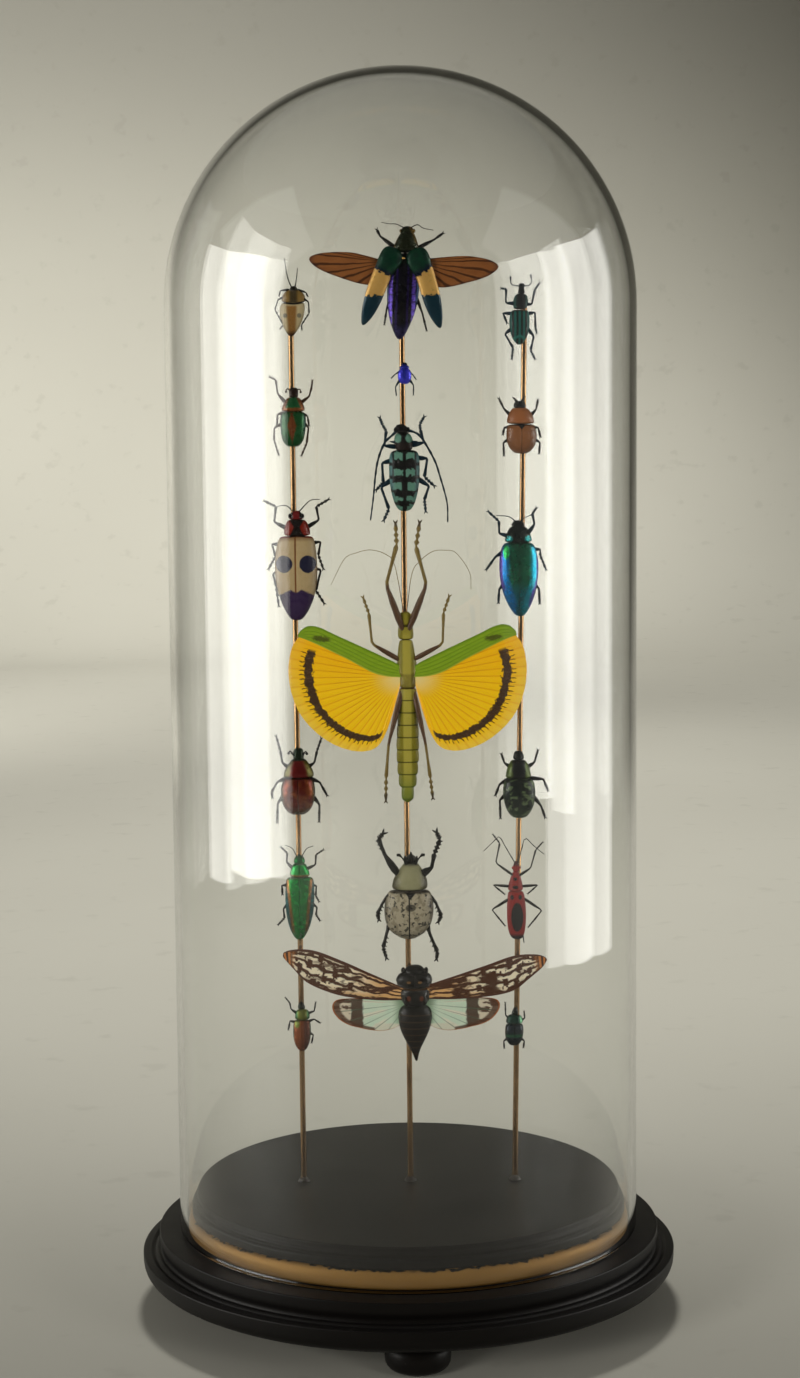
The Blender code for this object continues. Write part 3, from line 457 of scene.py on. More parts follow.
# ---------------------------------------------------------------------------------------------------
# Rods. Three thin drawn rods of copper-brown brass, a little tarnished. Each is glued into a drilled
# hole in the platform, with a dab of dark glue round its foot.
ROD_RADIUS = 1.15
ROD_SUNK = 6.0              # how far a rod goes down into the platform
RODS = {                    # x at the foot, x at the top, and the level of the top
    "rod_left": (-43.5, -44.2, 412.0),
    "rod_centre": (1.1, 0.5, 428.0),
    "rod_right": (44.7, 50.1, 413.5),
}
copper = Finish("copper_rod", Metallic=1.0)
drawn = copper.noise(0.5, (1.0, 1.0, 60.0), 3.0)
tarnish = copper.noise(9.0, (1.0, 1.0, 3.0), 5.0)
tone = copper.paint(
    (0.32, 0.19, 0.09), (drawn, (0.47, 0.30, 0.155)),
    (copper.ease(tarnish, 0.5, 0.68) * 0.6, (0.16, 0.08, 0.04)),
)
copper.feed(Base_Color=tone, Roughness=0.14 + tarnish * 0.14, Normal=copper.relief(drawn, 0.03, 0.4))
glue = Finish("dark_glue", Roughness=0.25)
smear = glue.noise(0.8, detail=4.0)
glue.feed(
    Base_Color=glue.paint((0.006, 0.005, 0.004), (smear, (0.03, 0.02, 0.012))),
    Normal=glue.relief(smear, 0.3, 0.7),
)
for name, (foot_x, top_x, top) in RODS.items():
    length = top - PLATFORM_TOP + ROD_SUNK
    side = [
        (0.0, 0.0), (ROD_RADIUS, 0.0), (ROD_RADIUS, length - 0.4), (ROD_RADIUS - 0.25, length - 0.05),
        (0.0, length),
    ]
    rod = turned(name + "_drawn", side, 24)
    lean = (top_x - foot_x) / (top - PLATFORM_TOP)
    at_foot = Matrix.Translation(((foot_x - ROD_SUNK * lean) * MM, 0.0, (PLATFORM_TOP - ROD_SUNK) * MM))
    rod.matrix_world = at_foot @ Matrix.Rotation(lean, 4, "Y")
    bpy.ops.object.transform_apply(location=True, rotation=True)
    stands_for(rod, name, copper)
    dab = turned(
        name + "_glue", [(0.0, 0.0), (2.7, 0.0), (2.5, 0.35), (1.9, 0.9), (1.3, 1.8), (0.0, 1.9)], 20,
    )
    dab.location = (foot_x * MM, 0.0, PLATFORM_TOP * MM)
    bpy.ops.object.transform_apply(location=True)
    bpy.ops.object.mode_set(mode="EDIT")
    bpy.ops.mesh.select_all(action="SELECT")
    bpy.ops.transform.vertex_random(offset=0.22 * MM, seed=len(name))
    bpy.ops.mesh.normals_make_consistent(inside=False)
    bpy.ops.object.mode_set(mode="OBJECT")
    stands_for(dab, name, glue)

# ---------------------------------------------------------------------------------------------------
# Open-winged jewel beetle, at the top of the centre rod. A dry beetle set as if in flight: hard wing
# cases spread over brown veined hind wings, a violet banded abdomen, and a brass pin through its back.
BELLY = 1.5                 # the insects lie this far in front of the middle of their rods
FOOT_LEVEL = 2.2            # and their feet end at this level
HORN_SPECULAR = 0.22        # dry horn shines less than polished wood
# Swellings along the parts of a leg, as (share of the part's length, radius).
THIGH = [(0.0, 1.2), (0.3, 1.9), (0.62, 1.7), (0.92, 1.0)]
SHIN = [(0.07, 0.95), (0.5, 0.9), (0.93, 1.35)]
FOOT = [(0.05, 0.5), (0.2, 1.5), (0.32, 0.5), (0.46, 1.4), (0.58, 0.5), (0.72, 1.3), (0.96, 0.6)]
SHIN_AND_FOOT = [(t * 0.6, r) for t, r in SHIN] + [(0.6 + t * 0.4, r) for t, r in FOOT]


def tint(red, green, blue):
    """A colour from a paint card's 0 to 255 values, as the shader wants it."""
    return tuple(c / 3294.6 if c < 11 else ((c / 255 + 0.055) / 1.055) ** 2.4 for c in (red, green, blue))


def lofted(stations, rest=BELLY, suture=0.0, sides=20, turn=0.0, root=(0.0, 0.0)):
    """Draws a ring out through stations of (v, middle u, half width, thickness).

    It is round in front and flat behind. suture sinks a groove down the middle. turn leans the whole
    about its root, in degrees.
    """
    bpy.ops.object.select_all(action="DESELECT")
    bpy.ops.mesh.primitive_circle_add(vertices=sides, radius=MM, fill_type="NGON")
    piece = bpy.context.object
    for vertex in piece.data.vertices:
        vertex.co.y *= 1.3 if vertex.co.y < 0 else 0.7
        if suture and vertex.co.y < 0 and abs(vertex.co.x) < 0.4 * MM:
            vertex.co.y += suture * MM if abs(vertex.co.x) < 0.01 * MM else 0.0
            vertex.co.x *= 0.3
    bpy.ops.object.mode_set(mode="EDIT")
    bpy.ops.mesh.select_all(action="SELECT")
    before, wide, deep = Vector((0.0, 0.0, 0.0)), 1.0, 2.0
    for i, (v, middle, half, thick) in enumerate(stations):
        centre = Vector((middle, -(rest + 0.35 * thick), v)) * MM
        if i:
            bpy.ops.mesh.extrude_region_move(TRANSFORM_OT_translate={"value": centre - before})
        else:
            bpy.ops.transform.translate(value=centre)
        bpy.ops.transform.resize(value=(half / wide, thick / deep, 1.0), center_override=centre)
        before, wide, deep = centre, half, thick
    bpy.ops.mesh.select_all(action="SELECT")
    bpy.ops.mesh.normals_make_consistent(inside=False)
    bpy.ops.object.mode_set(mode="OBJECT")
    bpy.ops.object.modifier_add(type="SUBSURF")
    piece.modifiers[-1].levels = piece.modifiers[-1].render_levels = 2
    bpy.ops.object.modifier_apply(modifier=piece.modifiers[-1].name)
    bpy.ops.object.shade_smooth()
    if turn:
        piece.matrix_world = Matrix.Translation((root[0] * MM, 0.0, root[1] * MM)) @ Matrix.Rotation(
            radians(turn), 4, "Y",
        )
        bpy.ops.object.transform_apply(location=True, rotation=True)
    return piece


def knob(u, v, half, height, thick):
    """Stations of a small round lump, such as an eye or a spine's foot."""
    return [
        (v + height * sin(a), u, half * cos(a), thick * cos(a))
        for a in [radians(-78 + 39 * i) for i in range(5)]
    ]


def joined(name, place, parts):
    """Joins parts that were made about their own middle, and moves them to their place on the rod."""
    bpy.ops.object.select_all(action="DESELECT")
    for part in parts:
        part.select_set(True)
    bpy.context.view_layer.objects.active = parts[0]
    if len(parts) > 1:
        bpy.ops.object.join()
    piece = bpy.context.object
    piece.name = piece.data.name = name
    piece.location = (place[0] * MM, 0.0, place[1] * MM)
    bpy.ops.object.transform_apply(location=True)
    return piece


def even_line(points, count):
    """Spaces count + 1 points evenly along a smooth curve through the given points."""
    points = [Vector(point) for point in points]
    if len(points) == 1:
        return points * (count + 1)
    ends = [2 * points[0] - points[1], *points, 2 * points[-1] - points[-2]]
    fine = []
    for a, b, c, d in zip(ends, ends[1:], ends[2:], ends[3:]):
        for k in range(12):
            t = k / 12
            fine.append(
                0.5 * (
                    2 * b + (c - a) * t + (2 * a - 5 * b + 4 * c - d) * t * t + (
                        3 * b - a - 3 * c + d
                    ) * t ** 3
                )
            )
    fine.append(points[-1])
    run = [0.0]
    for a, b in zip(fine, fine[1:]):
        run.append(run[-1] + (b - a).length)
    line, k = [], 0
    for i in range(count + 1):
        goal = run[-1] * i / count
        while k < len(run) - 2 and run[k + 1] < goal:
            k += 1
        share = (goal - run[k]) / max(run[k + 1] - run[k], 1e-9)
        line.append(fine[k].lerp(fine[k + 1], min(share, 1.0)))
    return line


def strands(lines):
    """Tapered round rods through lines of (u, v, w, radius) points, as one mesh."""
    bpy.ops.object.select_all(action="DESELECT")
    bpy.ops.curve.primitive_bezier_curve_add()
    piece = bpy.context.object
    piece.location = (0.0, 0.0, 0.0)
    piece.data.splines.clear()
    piece.data.bevel_depth = MM
    piece.data.bevel_resolution = 1
    piece.data.use_fill_caps = True
    for line in lines:
        spline = piece.data.splines.new("POLY")
        spline.points.add(len(line) - 1)
        for point, (u, v, w, radius) in zip(spline.points, line):
            point.co = (u * MM, -w * MM, v * MM, 1.0)
            point.radius = radius
    bpy.ops.object.convert(target="MESH")
    bpy.ops.object.shade_smooth()
    return bpy.context.object


def leg(joints, thick, level):
    """Lines of one leg from its (u, v) joints: a swollen thigh, a slim shin, a beaded foot and two claws."""
    joints = [Vector(joint) for joint in joints]
    shapes = [THIGH, SHIN, FOOT] if len(joints) == 4 else [THIGH, SHIN, FOOT, FOOT]
    if len(joints) == 3:
        shapes = [THIGH, SHIN_AND_FOOT]
    lengths = [(b - a).length for a, b in zip(joints, joints[1:])]
    total, done, line = sum(lengths), 0.0, []
    for shape, start, end, length in zip(shapes, joints, joints[1:], lengths):
        for t, radius in shape:
            along = (done + t * length) / total
            w = level + (FOOT_LEVEL - level) * along + 0.28 * total * along * (1 - along)
            line.append((*start.lerp(end, t), w, radius * thick))
        done += length
    way = (joints[-1] - joints[-2]).normalized() * thick * 2.4
    u, v, w, radius = line[-1]
    claws = []
    for side in (-0.55, 0.55):
        spread = Vector((way.x * cos(side) - way.y * sin(side), way.x * sin(side) + way.y * cos(side)))
        claws.append([(u, v, w, radius), (u + spread.x * 0.6, v + spread.y * 0.6, w + 0.1, radius * 0.7),
                      (u + spread.x, v + spread.y, w - 0.15, radius * 0.2)])
    return [line, *claws]


def legs(*all_joints, thick=0.45, level=BELLY + 1.5):
    """The lines of several legs of one thickness, from the joints of each."""
    return [line for joints in all_joints for line in leg(joints, thick, level)]


def feeler(points, thick=0.25, level=BELLY + 1.6, joints=9, club=0.0):
    """The line of one feeler: a flowing, beaded thread. club swells its tip."""
    count = joints * 3
    line = []
    for i, (u, v) in enumerate(even_line(points, count)):
        t = i / count
        bead = 1.0 + 0.28 * (i % 3 == 2) - 0.12 * (i % 3 == 0)
        swell = 1.0 - 0.45 * t + club * max(0.0, (t - 0.72) / 0.28)
        line.append((u, v, level + 0.9 * sin(pi * t) - 0.7 * t, thick * bead * swell))
    return [line]


def membrane(inner, outer, level, drop=0.0, across=10, along=48, folds=0, fold=0.0, camber=0.0, thick=0.14):
    """A thin wing between its inner and outer edges, each a smooth line through its (u, v) points.

    Its surface map runs across from the inner edge and along from the start. It sinks by drop for each
    millimetre of u, bulges by camber, and is pleated by folds of the given depth.
    """
    bpy.ops.object.select_all(action="DESELECT")
    bpy.ops.mesh.primitive_grid_add(x_subdivisions=across, y_subdivisions=along, size=1.0)
    piece = bpy.context.object
    near, far = even_line(inner, along), even_line(outer, along)
    for vertex in piece.data.vertices:
        a, s = vertex.co.x + 0.5, vertex.co.y + 0.5
        u, v = near[round(s * along)].lerp(far[round(s * along)], a)
        pleat = fold * a * abs((s * folds) % 1.0 - 0.5) * 2
        w = level - drop * abs(u) + camber * sin(pi * a) * sin(pi * min(1.0, s * 1.2)) + pleat
        vertex.co = (u * MM, -w * MM, v * MM)
    bpy.ops.object.mode_set(mode="EDIT")
    bpy.ops.mesh.select_all(action="SELECT")
    bpy.ops.mesh.remove_doubles(threshold=0.002 * MM)
    bpy.ops.mesh.normals_make_consistent(inside=False)
    bpy.ops.object.mode_set(mode="OBJECT")
    bpy.ops.object.modifier_add(type="SOLIDIFY")
    piece.modifiers[-1].thickness = thick * MM
    piece.modifiers[-1].offset = 0.0
    bpy.ops.object.modifier_apply(modifier=piece.modifiers[-1].name)
    bpy.ops.object.shade_smooth_by_angle(angle=radians(50))
    return piece


def mounted(node, place, skin, bodies, limb, lines):
    """Sets an insect's body, and its limbs in one mesh, at their place on the rod."""
    stands_for(joined(node + "_body", place, bodies), node, skin)
    stands_for(joined(node + "_limbs", place, [strands(lines)]), node, limb)


def shell(finish, colour, shine, pits=0.5, pit_size=0.42, ridges=0.0, ridge_gap=1.0, depth=0.07):
    """Gives a finish the horny skin of a beetle: fine pits, lengthwise ridges and a rubbed gloss."""
    pitted = finish.ease(finish.cells(pit_size), 0.16, 0.5)
    rubbed = finish.noise(2.2, detail=4.0)
    height = pitted * pits + rubbed * 0.35
    if ridges:
        height = height + finish.math("SINE", finish.u * (2 * pi / ridge_gap)) * (0.5 * ridges)
    finish.shader.inputs["Specular IOR Level"].default_value = HORN_SPECULAR
    finish.feed(Base_Color=colour, Roughness=shine + rubbed * 0.16, Normal=finish.relief(height, depth))
    return finish


def limb_finish(name, dark, pale):
    """Horny black or brown legs and feelers: fine pale hairs along them, partly a painted sheen where they
    catch the light.
    """
    limb = Finish(name, Specular_IOR_Level=HORN_SPECULAR)
    hairs_and_sheen = limb.noise(0.35, (1.0, 1.0, 2.5), 3.0)
    wear = limb.noise(3.0, detail=3.0)
    # the pale coats are real hairs and wear, and partly a painted sheen
    colour = limb.paint(dark, (hairs_and_sheen * 0.6, pale), (wear * 0.35, pale))
    limb.feed(Base_Color=colour, Roughness=0.34 + hairs_and_sheen * 0.25, Normal=limb.relief(hairs_and_sheen, 0.08))
    return limb


def surface_map(finish):
    """The two ways of a wing's surface map: across from its inner edge, and along from its start."""
    split = finish.node("SeparateXYZ", {}, {0: finish.node("UVMap")})
    return [Wire(finish, socket) for socket in split.socket.node.outputs][:2]


def painted_glow(finish, colour, strength):
    """Paints a glow into a thin wing: it gives off a little light of its own colour, as if lit from behind.
    """
    finish.feed(Emission_Color=colour)
    finish.shader.inputs["Emission Strength"].default_value = strength


black_limb = limb_finish("black_limb", tint(8, 9, 11), tint(40, 38, 34))
blue_limb = limb_finish("blue_black_limb", tint(6, 16, 24), tint(28, 58, 74))
brown_limb = limb_finish("brown_limb", tint(30, 18, 12), tint(80, 54, 36))

PLACE, NODE = (1.2, 416.6), "open_winged_jewel_beetle"
jewel = Finish("violet_abdomen", PLACE, Metallic=0.6, Coat_Weight=0.2, Coat_Roughness=0.15)
side = abs(jewel.u + 0.3 - jewel.v * 0.045)
rings = jewel.ruled((jewel.v + 19.4) / 3.0, 0.36, 0.47)
flecks = jewel.noise(0.9, detail=4.0)
violet = jewel.within(side + (flecks - 0.5) * 1.1, 3.9, 5.4, 0.3)
violet = violet * jewel.ease(jewel.v, 8.0, 5.0) * jewel.ease(jewel.v, -15.5, -12.0)
blue_rim = jewel.ease(side, 5.1, 6.0) * jewel.ease(jewel.v, 12.0, 9.0)
tail = jewel.ease(jewel.v, -12.5, -16.5)
crown = jewel.ease(jewel.v, 15.2, 16.4)
gold_edge = crown * jewel.ease(abs(jewel.u - 1.3) + (jewel.v - 20.0) * 0.42, 3.1, 4.4)
colour = jewel.paint(
    tint(10, 10, 18), (jewel.within(side, 1.8, 2.6, 0.3) * flecks * 0.8, tint(60, 36, 120)),
    (violet * (1 - rings), tint(78, 56, 168)), (flecks * violet * 0.5, tint(130, 96, 215)),
    (blue_rim, tint(22, 62, 112)), (tail, tint(14, 36, 60)), (tail * flecks, tint(60, 40, 96)),
    (crown, tint(22, 40, 24)), (crown * flecks * 0.7, tint(52, 44, 22)), (gold_edge, tint(120, 92, 34)),
    (jewel.spot(jewel.u, jewel.v, (0.2, 12.6), (3.4, 2.0)), tint(10, 20, 14)),
)
shell(jewel, colour, shine=0.2, pits=0.6, depth=0.1)
thorax = [(15.2, 1.2, 4.6, 4.0), (16.0, 1.2, 5.3, 5.0), (17.4, 1.3, 5.3, 5.4), (20.2, 1.6, 4.2, 5.0),
          (22.6, 1.8, 3.1, 4.0), (23.3, 1.9, 2.5, 3.4)]
head = [
    (22.0, 1.9, 2.2, 3.0), (23.2, 1.9, 2.9, 3.6), (24.6, 2.0, 2.6, 3.0), (25.6, 2.0, 1.6, 1.8),
    (25.9, 2.0, 0.8, 1.0),
]
abdomen = [
    (15.4, 0.9, 3.0, 3.4), (12.0, 0.7, 5.6, 5.2), (5.0, 0.2, 6.5, 5.8), (-2.0, -0.1, 6.6, 5.6),
    (-8.0, -0.6, 5.7, 4.8), (-13.0, -1.1, 4.1, 3.8), (-17.0, -1.4, 2.3, 2.6), (-19.2, -1.5, 1.0, 1.5),
]
parts = [lofted(thorax), lofted(head), lofted(abdomen)]
parts += [lofted(knob(u, 23.9, 0.75, 0.9, 2.4), rest=2.6, sides=12) for u in (-0.6, 4.5)]
stands_for(joined(NODE + "_body", PLACE, parts), NODE, jewel)

case = Finish("banded_wing_case", PLACE, Metallic=0.3, Coat_Weight=0.24, Coat_Roughness=0.12)
jag = (case.noise(1.6, detail=3.0) - 0.5) * 4.6
top_edge = case.v - (abs(case.u) - 5.5) * 0.58 + jag
band = case.ease(top_edge, 5.8, 5.4) * case.ease(case.v + jag, -1.9, -1.5)
tips = case.ease(case.v + jag, -1.6, -2.0)
navy = case.within(top_edge, 5.0, 7.6, 0.9)
speckle = case.noise(0.7, detail=4.0)
colour = case.paint(
    tint(4, 46, 34), (case.ease(case.noise(2.6), 0.4, 0.62), tint(2, 60, 38)), (navy, tint(8, 24, 44)),
    (tips, tint(6, 34, 52)), (tips * speckle, tint(16, 62, 74)), (band, tint(228, 172, 84)),
    (band * speckle * 0.6, tint(240, 200, 124)),
)
shell(case, colour, shine=0.22, pits=0.7, pit_size=0.5, depth=0.09)
elytron = [
    (0.2, 1.0, 1.6, 1.2), (-0.6, 1.2, 3.4, 2.4), (-2.6, 1.5, 4.7, 3.6), (-5.6, 1.5, 5.0, 3.9),
    (-8.6, 0.8, 4.3, 3.4), (-11.4, 0.1, 3.8, 3.0), (-17.0, 0.0, 3.8, 2.8), (-22.0, 0.0, 3.6, 2.4),
    (-27.0, -0.1, 2.9, 1.9), (-30.6, -0.2, 1.8, 1.4), (-33.2, -0.4, 0.6, 0.7),
]
other_side = [(v, -middle, half, thick) for v, middle, half, thick in elytron]
parts = [lofted(elytron, rest=4.6, turn=20.0, root=(-4.6, 17.6)),
         lofted(other_side, rest=4.6, turn=-14.0, root=(6.4, 17.2))]
stands_for(joined(NODE + "_wing_cases", PLACE, parts), NODE, case)

wing = Finish("brown_hind_wing", PLACE, Roughness=0.34, Coat_Weight=0.04, Specular_IOR_Level=0.3)
smoke_line = wing.noise(6.0, detail=2.0)
reach, turn_round = surface_map(wing)
ribs = wing.ruled(turn_round * 10.0 + smoke_line * 0.5, 0.2, 0.06)
ribs = wing.either(ribs, wing.ease(reach, 0.34, 0.1) * 0.7)
front = wing.ease(turn_round, 0.16, 0.06)
smoke = wing.noise(3.0, (2.0, 1.0, 1.0), 4.0)
colour = wing.paint(tint(124, 72, 36), (smoke, tint(164, 104, 56)), (ribs * 0.85, tint(48, 24, 14)),
                    (front, tint(38, 20, 14)), (wing.ease(reach, 0.92, 1.0) * 0.6, tint(58, 40, 44)))
wing.feed(Base_Color=colour, Normal=wing.relief(ribs + smoke * 0.3, 0.12))
# painted glow: the hind wings give off a little light of their own colour
painted_glow(wing, colour, 0.08)
left_edge = [
    (-8.0, 12.9), (-12.6, 12.9), (-18.6, 15.2), (-25.7, 15.8), (-33.3, 15.3), (-37.6, 13.4), (-34.4, 9.6),
    (-25.7, 5.8), (-14.8, 2.7), (-7.0, 3.5),
]
right_edge = [(8.0, 12.9), (12.4, 13.0), (17.3, 13.4), (26.0, 13.7), (34.2, 12.3), (38.4, 9.5), (34.2, 5.8),
              (25.5, 3.1), (15.7, 1.3), (7.0, 3.5)]
parts = [
    membrane([(-5.0, 11.6)], left_edge, 4.0, 0.02, 14, 56, 7, 0.5),
    membrane([(5.6, 11.6)], right_edge, 4.0, 0.02, 14, 56, 7, 0.5),
]
stands_for(joined(NODE + "_hind_wings", PLACE, parts), NODE, wing)
lines = legs(
    [(-2.0, 16.5), (-8.9, 21.8), (-10.2, 24.4)], [(4.0, 16.0), (12.5, 20.3), (16.0, 22.8)], thick=0.5,
)
lines += legs(
    [(-4.0, 1.0), (-6.6, -6.8), (-7.6, -12.9)], [(4.0, 1.0), (7.6, -8.6), (9.3, -15.5)], thick=0.4,
    level=2.6,
)
lines += feeler([(0.6, 25.2), (-2.5, 26.6), (-5.4, 26.8), (-8.5, 27.5)], 0.22)
lines += feeler([(3.4, 25.2), (6.0, 26.3), (8.4, 24.9), (12.4, 24.2)], 0.22)
stands_for(joined(NODE + "_limbs", PLACE, [strands(lines)]), NODE, black_limb)
brass = Finish("brass_pin", Metallic=1.0, Roughness=0.2)
brass.feed(Base_Color=brass.paint(tint(214, 178, 106), (brass.noise(0.4), tint(168, 120, 60))))
shaft_and_head = [(2.0, 0.22), (8.0, 0.22), (8.05, 0.5), (8.3, 0.62), (8.6, 0.5), (8.75, 0.15)]
pin = strands([[(0.2, 12.9, out, radius) for out, radius in shaft_and_head]])
stands_for(joined(NODE + "_pin", PLACE, [pin]), NODE, brass)

# ---------------------------------------------------------------------------------------------------
# Small blue beetle, below it on the centre rod. A leaf beetle of a bright metallic blue, glued flat by
# its underside, with four legs drawn back.
PLACE, NODE = (1.5, 382.8), "small_blue_beetle"
azure = Finish("bright_blue_shell", PLACE, Metallic=0.45, Coat_Weight=0.32, Coat_Roughness=0.1)
middle_dark = azure.ease(abs(azure.u + 0.1), 1.5, 0.1) * azure.ease(azure.v, -2.6, -0.5)
colour = azure.paint(
    tint(66, 70, 238), (azure.noise(0.8), tint(92, 84, 250)), (middle_dark * 0.75, tint(24, 46, 160)),
    (azure.ease(azure.v, 2.7, 3.1), tint(44, 52, 170)), (azure.ease(azure.v, 4.2, 4.8), tint(18, 22, 60)),
)
shell(azure, colour, shine=0.18, pits=0.5, pit_size=0.3)
parts = [
    lofted(
        [
            (3.0, 0.0, 1.6, 2.0), (2.4, 0.0, 2.5, 3.0), (0.4, 0.0, 2.9, 3.6), (-1.8, 0.0, 2.7, 3.2),
            (-3.3, 0.0, 1.5, 1.9),
        ],
        suture=0.12,
    ),
    lofted([(4.5, 0.0, 1.1, 1.6), (3.8, 0.0, 2.0, 2.4), (2.6, 0.0, 2.1, 2.6)]),
    lofted([(5.5, 0.0, 0.6, 1.0), (4.9, 0.0, 1.2, 1.6), (4.2, 0.0, 1.2, 1.7)]),
]
stands_for(joined(NODE + "_body", PLACE, parts), NODE, azure)
lines = legs(
    [(-1.2, 2.2), (-3.6, 0.9), (-5.2, -0.6)], [(1.2, 2.0), (3.3, 0.6), (4.5, -1.2)],
    [(-1.4, -0.6), (-3.7, -4.3), (-3.4, -7.5)], [(1.4, -0.6), (3.6, -3.7), (3.5, -7.4)], thick=0.27,
    level=2.6,
)
stands_for(joined(NODE + "_limbs", PLACE, [strands(lines)]), NODE, blue_limb)

# ---------------------------------------------------------------------------------------------------
# Banded longhorn beetle, third on the centre rod. Black wing cases barred with scales of pale mint, and
# long jointed feelers that sweep back past the tail.
PLACE, NODE = (1.1, 342.4), "banded_longhorn_beetle"
barred = Finish("mint_barred_shell", PLACE, Coat_Weight=0.06, Coat_Roughness=0.3)
u, v = barred.u, barred.v
rough_edge = (barred.noise(1.4, detail=3.0) - 0.5) * 3.4
wavy = v + rough_edge + abs(abs(u) - 2.6) * 0.22
off_middle = barred.ease(abs(u + rough_edge * 0.2), 0.25, 0.55)
bars = barred.within(wavy, 7.4, 10.2) * barred.ease(abs(abs(u) - 2.4), 1.9, 1.5)
for low, high, inner, outer in (
    (0.8, 3.4, 0.5, 4.3), (-5.0, -2.0, 1.2, 4.9), (-9.4, -7.7, 0.7, 3.7), (-13.6, -11.4, 0.8, 3.3),
):
    bars = barred.either(
        bars, barred.within(wavy, low, high) * barred.within(abs(u) + rough_edge * 0.4, inner, outer),
    )
margin = barred.ease(abs(u) - barred.ease(v, -4.0, -12.0) * -2.4, 4.5, 5.3) * barred.ease(v, 10.4, 9.6)
margin = margin * barred.ruled((v + 16.0) / 5.3, 0.44, 0.3)
neck_spots = barred.spot(abs(u + 0.3) + rough_edge * 0.3, v, (2.3, 15.6), (1.4, 1.8), 0.35)
scales = barred.noise(0.4, detail=2.0)
rusty = barred.within(v, 10.8, 13.6) * barred.noise(1.4, detail=3.0)
mint = barred.paint(
    tint(84, 140, 118), (scales, tint(134, 184, 160)),
    (barred.ease(abs(u), 3.6, 5.0) * 0.7, tint(96, 138, 146)),
)
colour = barred.paint(
    tint(14, 12, 13), (rusty * 0.6, tint(58, 36, 30)),
    (barred.either(bars * off_middle, margin, neck_spots), mint),
)
shell(barred, colour, shine=0.36, pits=0.8, pit_size=0.5, depth=0.09)
cases = [
    (10.9, 0.0, 3.0, 3.4), (10.3, 0.0, 5.3, 5.2), (8.6, 0.0, 6.2, 6.2), (3.0, 0.0, 6.4, 6.8),
    (-3.0, 0.0, 6.1, 6.4), (-8.0, 0.0, 5.1, 5.4), (-11.6, 0.0, 3.9, 4.3), (-14.0, 0.0, 2.1, 2.6),
]
neck = [
    (10.4, -0.1, 3.2, 4.6), (11.6, -0.1, 3.5, 5.0), (14.0, -0.2, 4.1, 5.4), (16.2, -0.4, 3.5, 5.0),
    (17.8, -0.6, 2.8, 4.2),
]
head = [(17.2, -0.6, 2.6, 3.8), (18.8, -0.9, 2.8, 4.0), (20.2, -1.2, 2.4, 3.0), (21.2, -1.3, 1.3, 1.7)]
parts = [
    lofted(cases, suture=0.1), lofted(neck), lofted(head),
    lofted(knob(0.0, 10.3, 0.9, 0.9, 1.4), rest=5.0, sides=12),
]
parts += [lofted(knob(u_eye, 18.8, 0.9, 1.3, 2.4), rest=2.5, sides=12) for u_eye in (-3.4, 1.6)]
stands_for(joined(NODE + "_body", PLACE, parts), NODE, barred)
lines = [
    [(-3.4, 13.9, 4.2, 0.8), (-4.8, 14.1, 4.3, 0.45), (-5.9, 14.3, 4.2, 0.1)],
    [(3.0, 13.9, 4.2, 0.8), (4.4, 14.1, 4.3, 0.45), (5.5, 14.3, 4.2, 0.1)],
]
lines += legs(
    [(-2.4, 12.0), (-8.0, 12.6), (-7.2, 18.5), (-8.6, 20.8), (-9.7, 23.6)],
    [(2.4, 12.4), (8.0, 13.8), (6.6, 18.8), (6.4, 21.1), (8.1, 23.9)],
    [(-4.4, 6.7), (-9.0, 5.6), (-8.6, -2.2), (-11.4, -5.2)],
    [(4.4, 7.6), (9.3, 7.3), (8.1, -0.1), (12.0, -3.8)],
    [(-4.4, -0.6), (-9.5, -4.1), (-6.4, -12.9), (-8.5, -17.5)],
    [(4.4, -0.2), (9.9, -3.8), (8.0, -9.3), (8.5, -14.0)], thick=0.6,
)
lines += feeler(
    [(-2.4, 18.9), (-5.4, 16.2), (-8.0, 13.6), (-10.6, 7.0), (-11.8, 0.1), (-12.6, -7.7), (-13.9, -17.5)],
    0.55, 3.8, 11,
)
lines += feeler(
    [(0.2, 19.0), (4.4, 17.8), (7.2, 15.4), (12.1, 6.8), (14.4, -0.1), (17.1, -10.3), (17.4, -18.5)], 0.55,
    3.8, 11,
)
stands_for(joined(NODE + "_limbs", PLACE, [strands(lines)]), NODE, blue_limb)

# ---------------------------------------------------------------------------------------------------
# Yellow-winged stick insect, in the middle of the centre rod. A jointed green stick of a body between
# two pleated yellow fans, each with a leathery green front strip and a toothed dark band near its rim.
PLACE, NODE = (1.7, 261.8), "yellow_winged_stick_insect"
FAN_HINGE = (-2.6, -0.6)
fan_rim = [
    (-44.0, 16.2), (-46.6, 12.6), (-48.0, 8.0), (-48.6, 1.1), (-47.3, -7.6), (-43.6, -16.3), (-37.0, -23.7),
    (-29.1, -28.8), (-20.5, -31.1), (-13.6, -29.8), (-9.6, -24.6), (-6.4, -16.0), (-3.6, -6.0),
]
strip_top = [
    (-2.2, 3.2), (-4.4, 5.0), (-9.0, 7.3), (-14.8, 10.1), (-28.6, 16.5), (-35.8, 19.9), (-40.4, 20.4),
    (-43.6, 18.4), (-44.6, 16.2),
]
strip_low = [
    (-2.2, -0.6), (-4.3, -0.6), (-9.0, -0.2), (-14.9, 1.6), (-24.0, 6.6), (-32.0, 10.6), (-37.0, 13.0),
    (-41.5, 15.0), (-44.3, 16.0),
]


def flipped(points):
    return [(-across, up) for across, up in points]


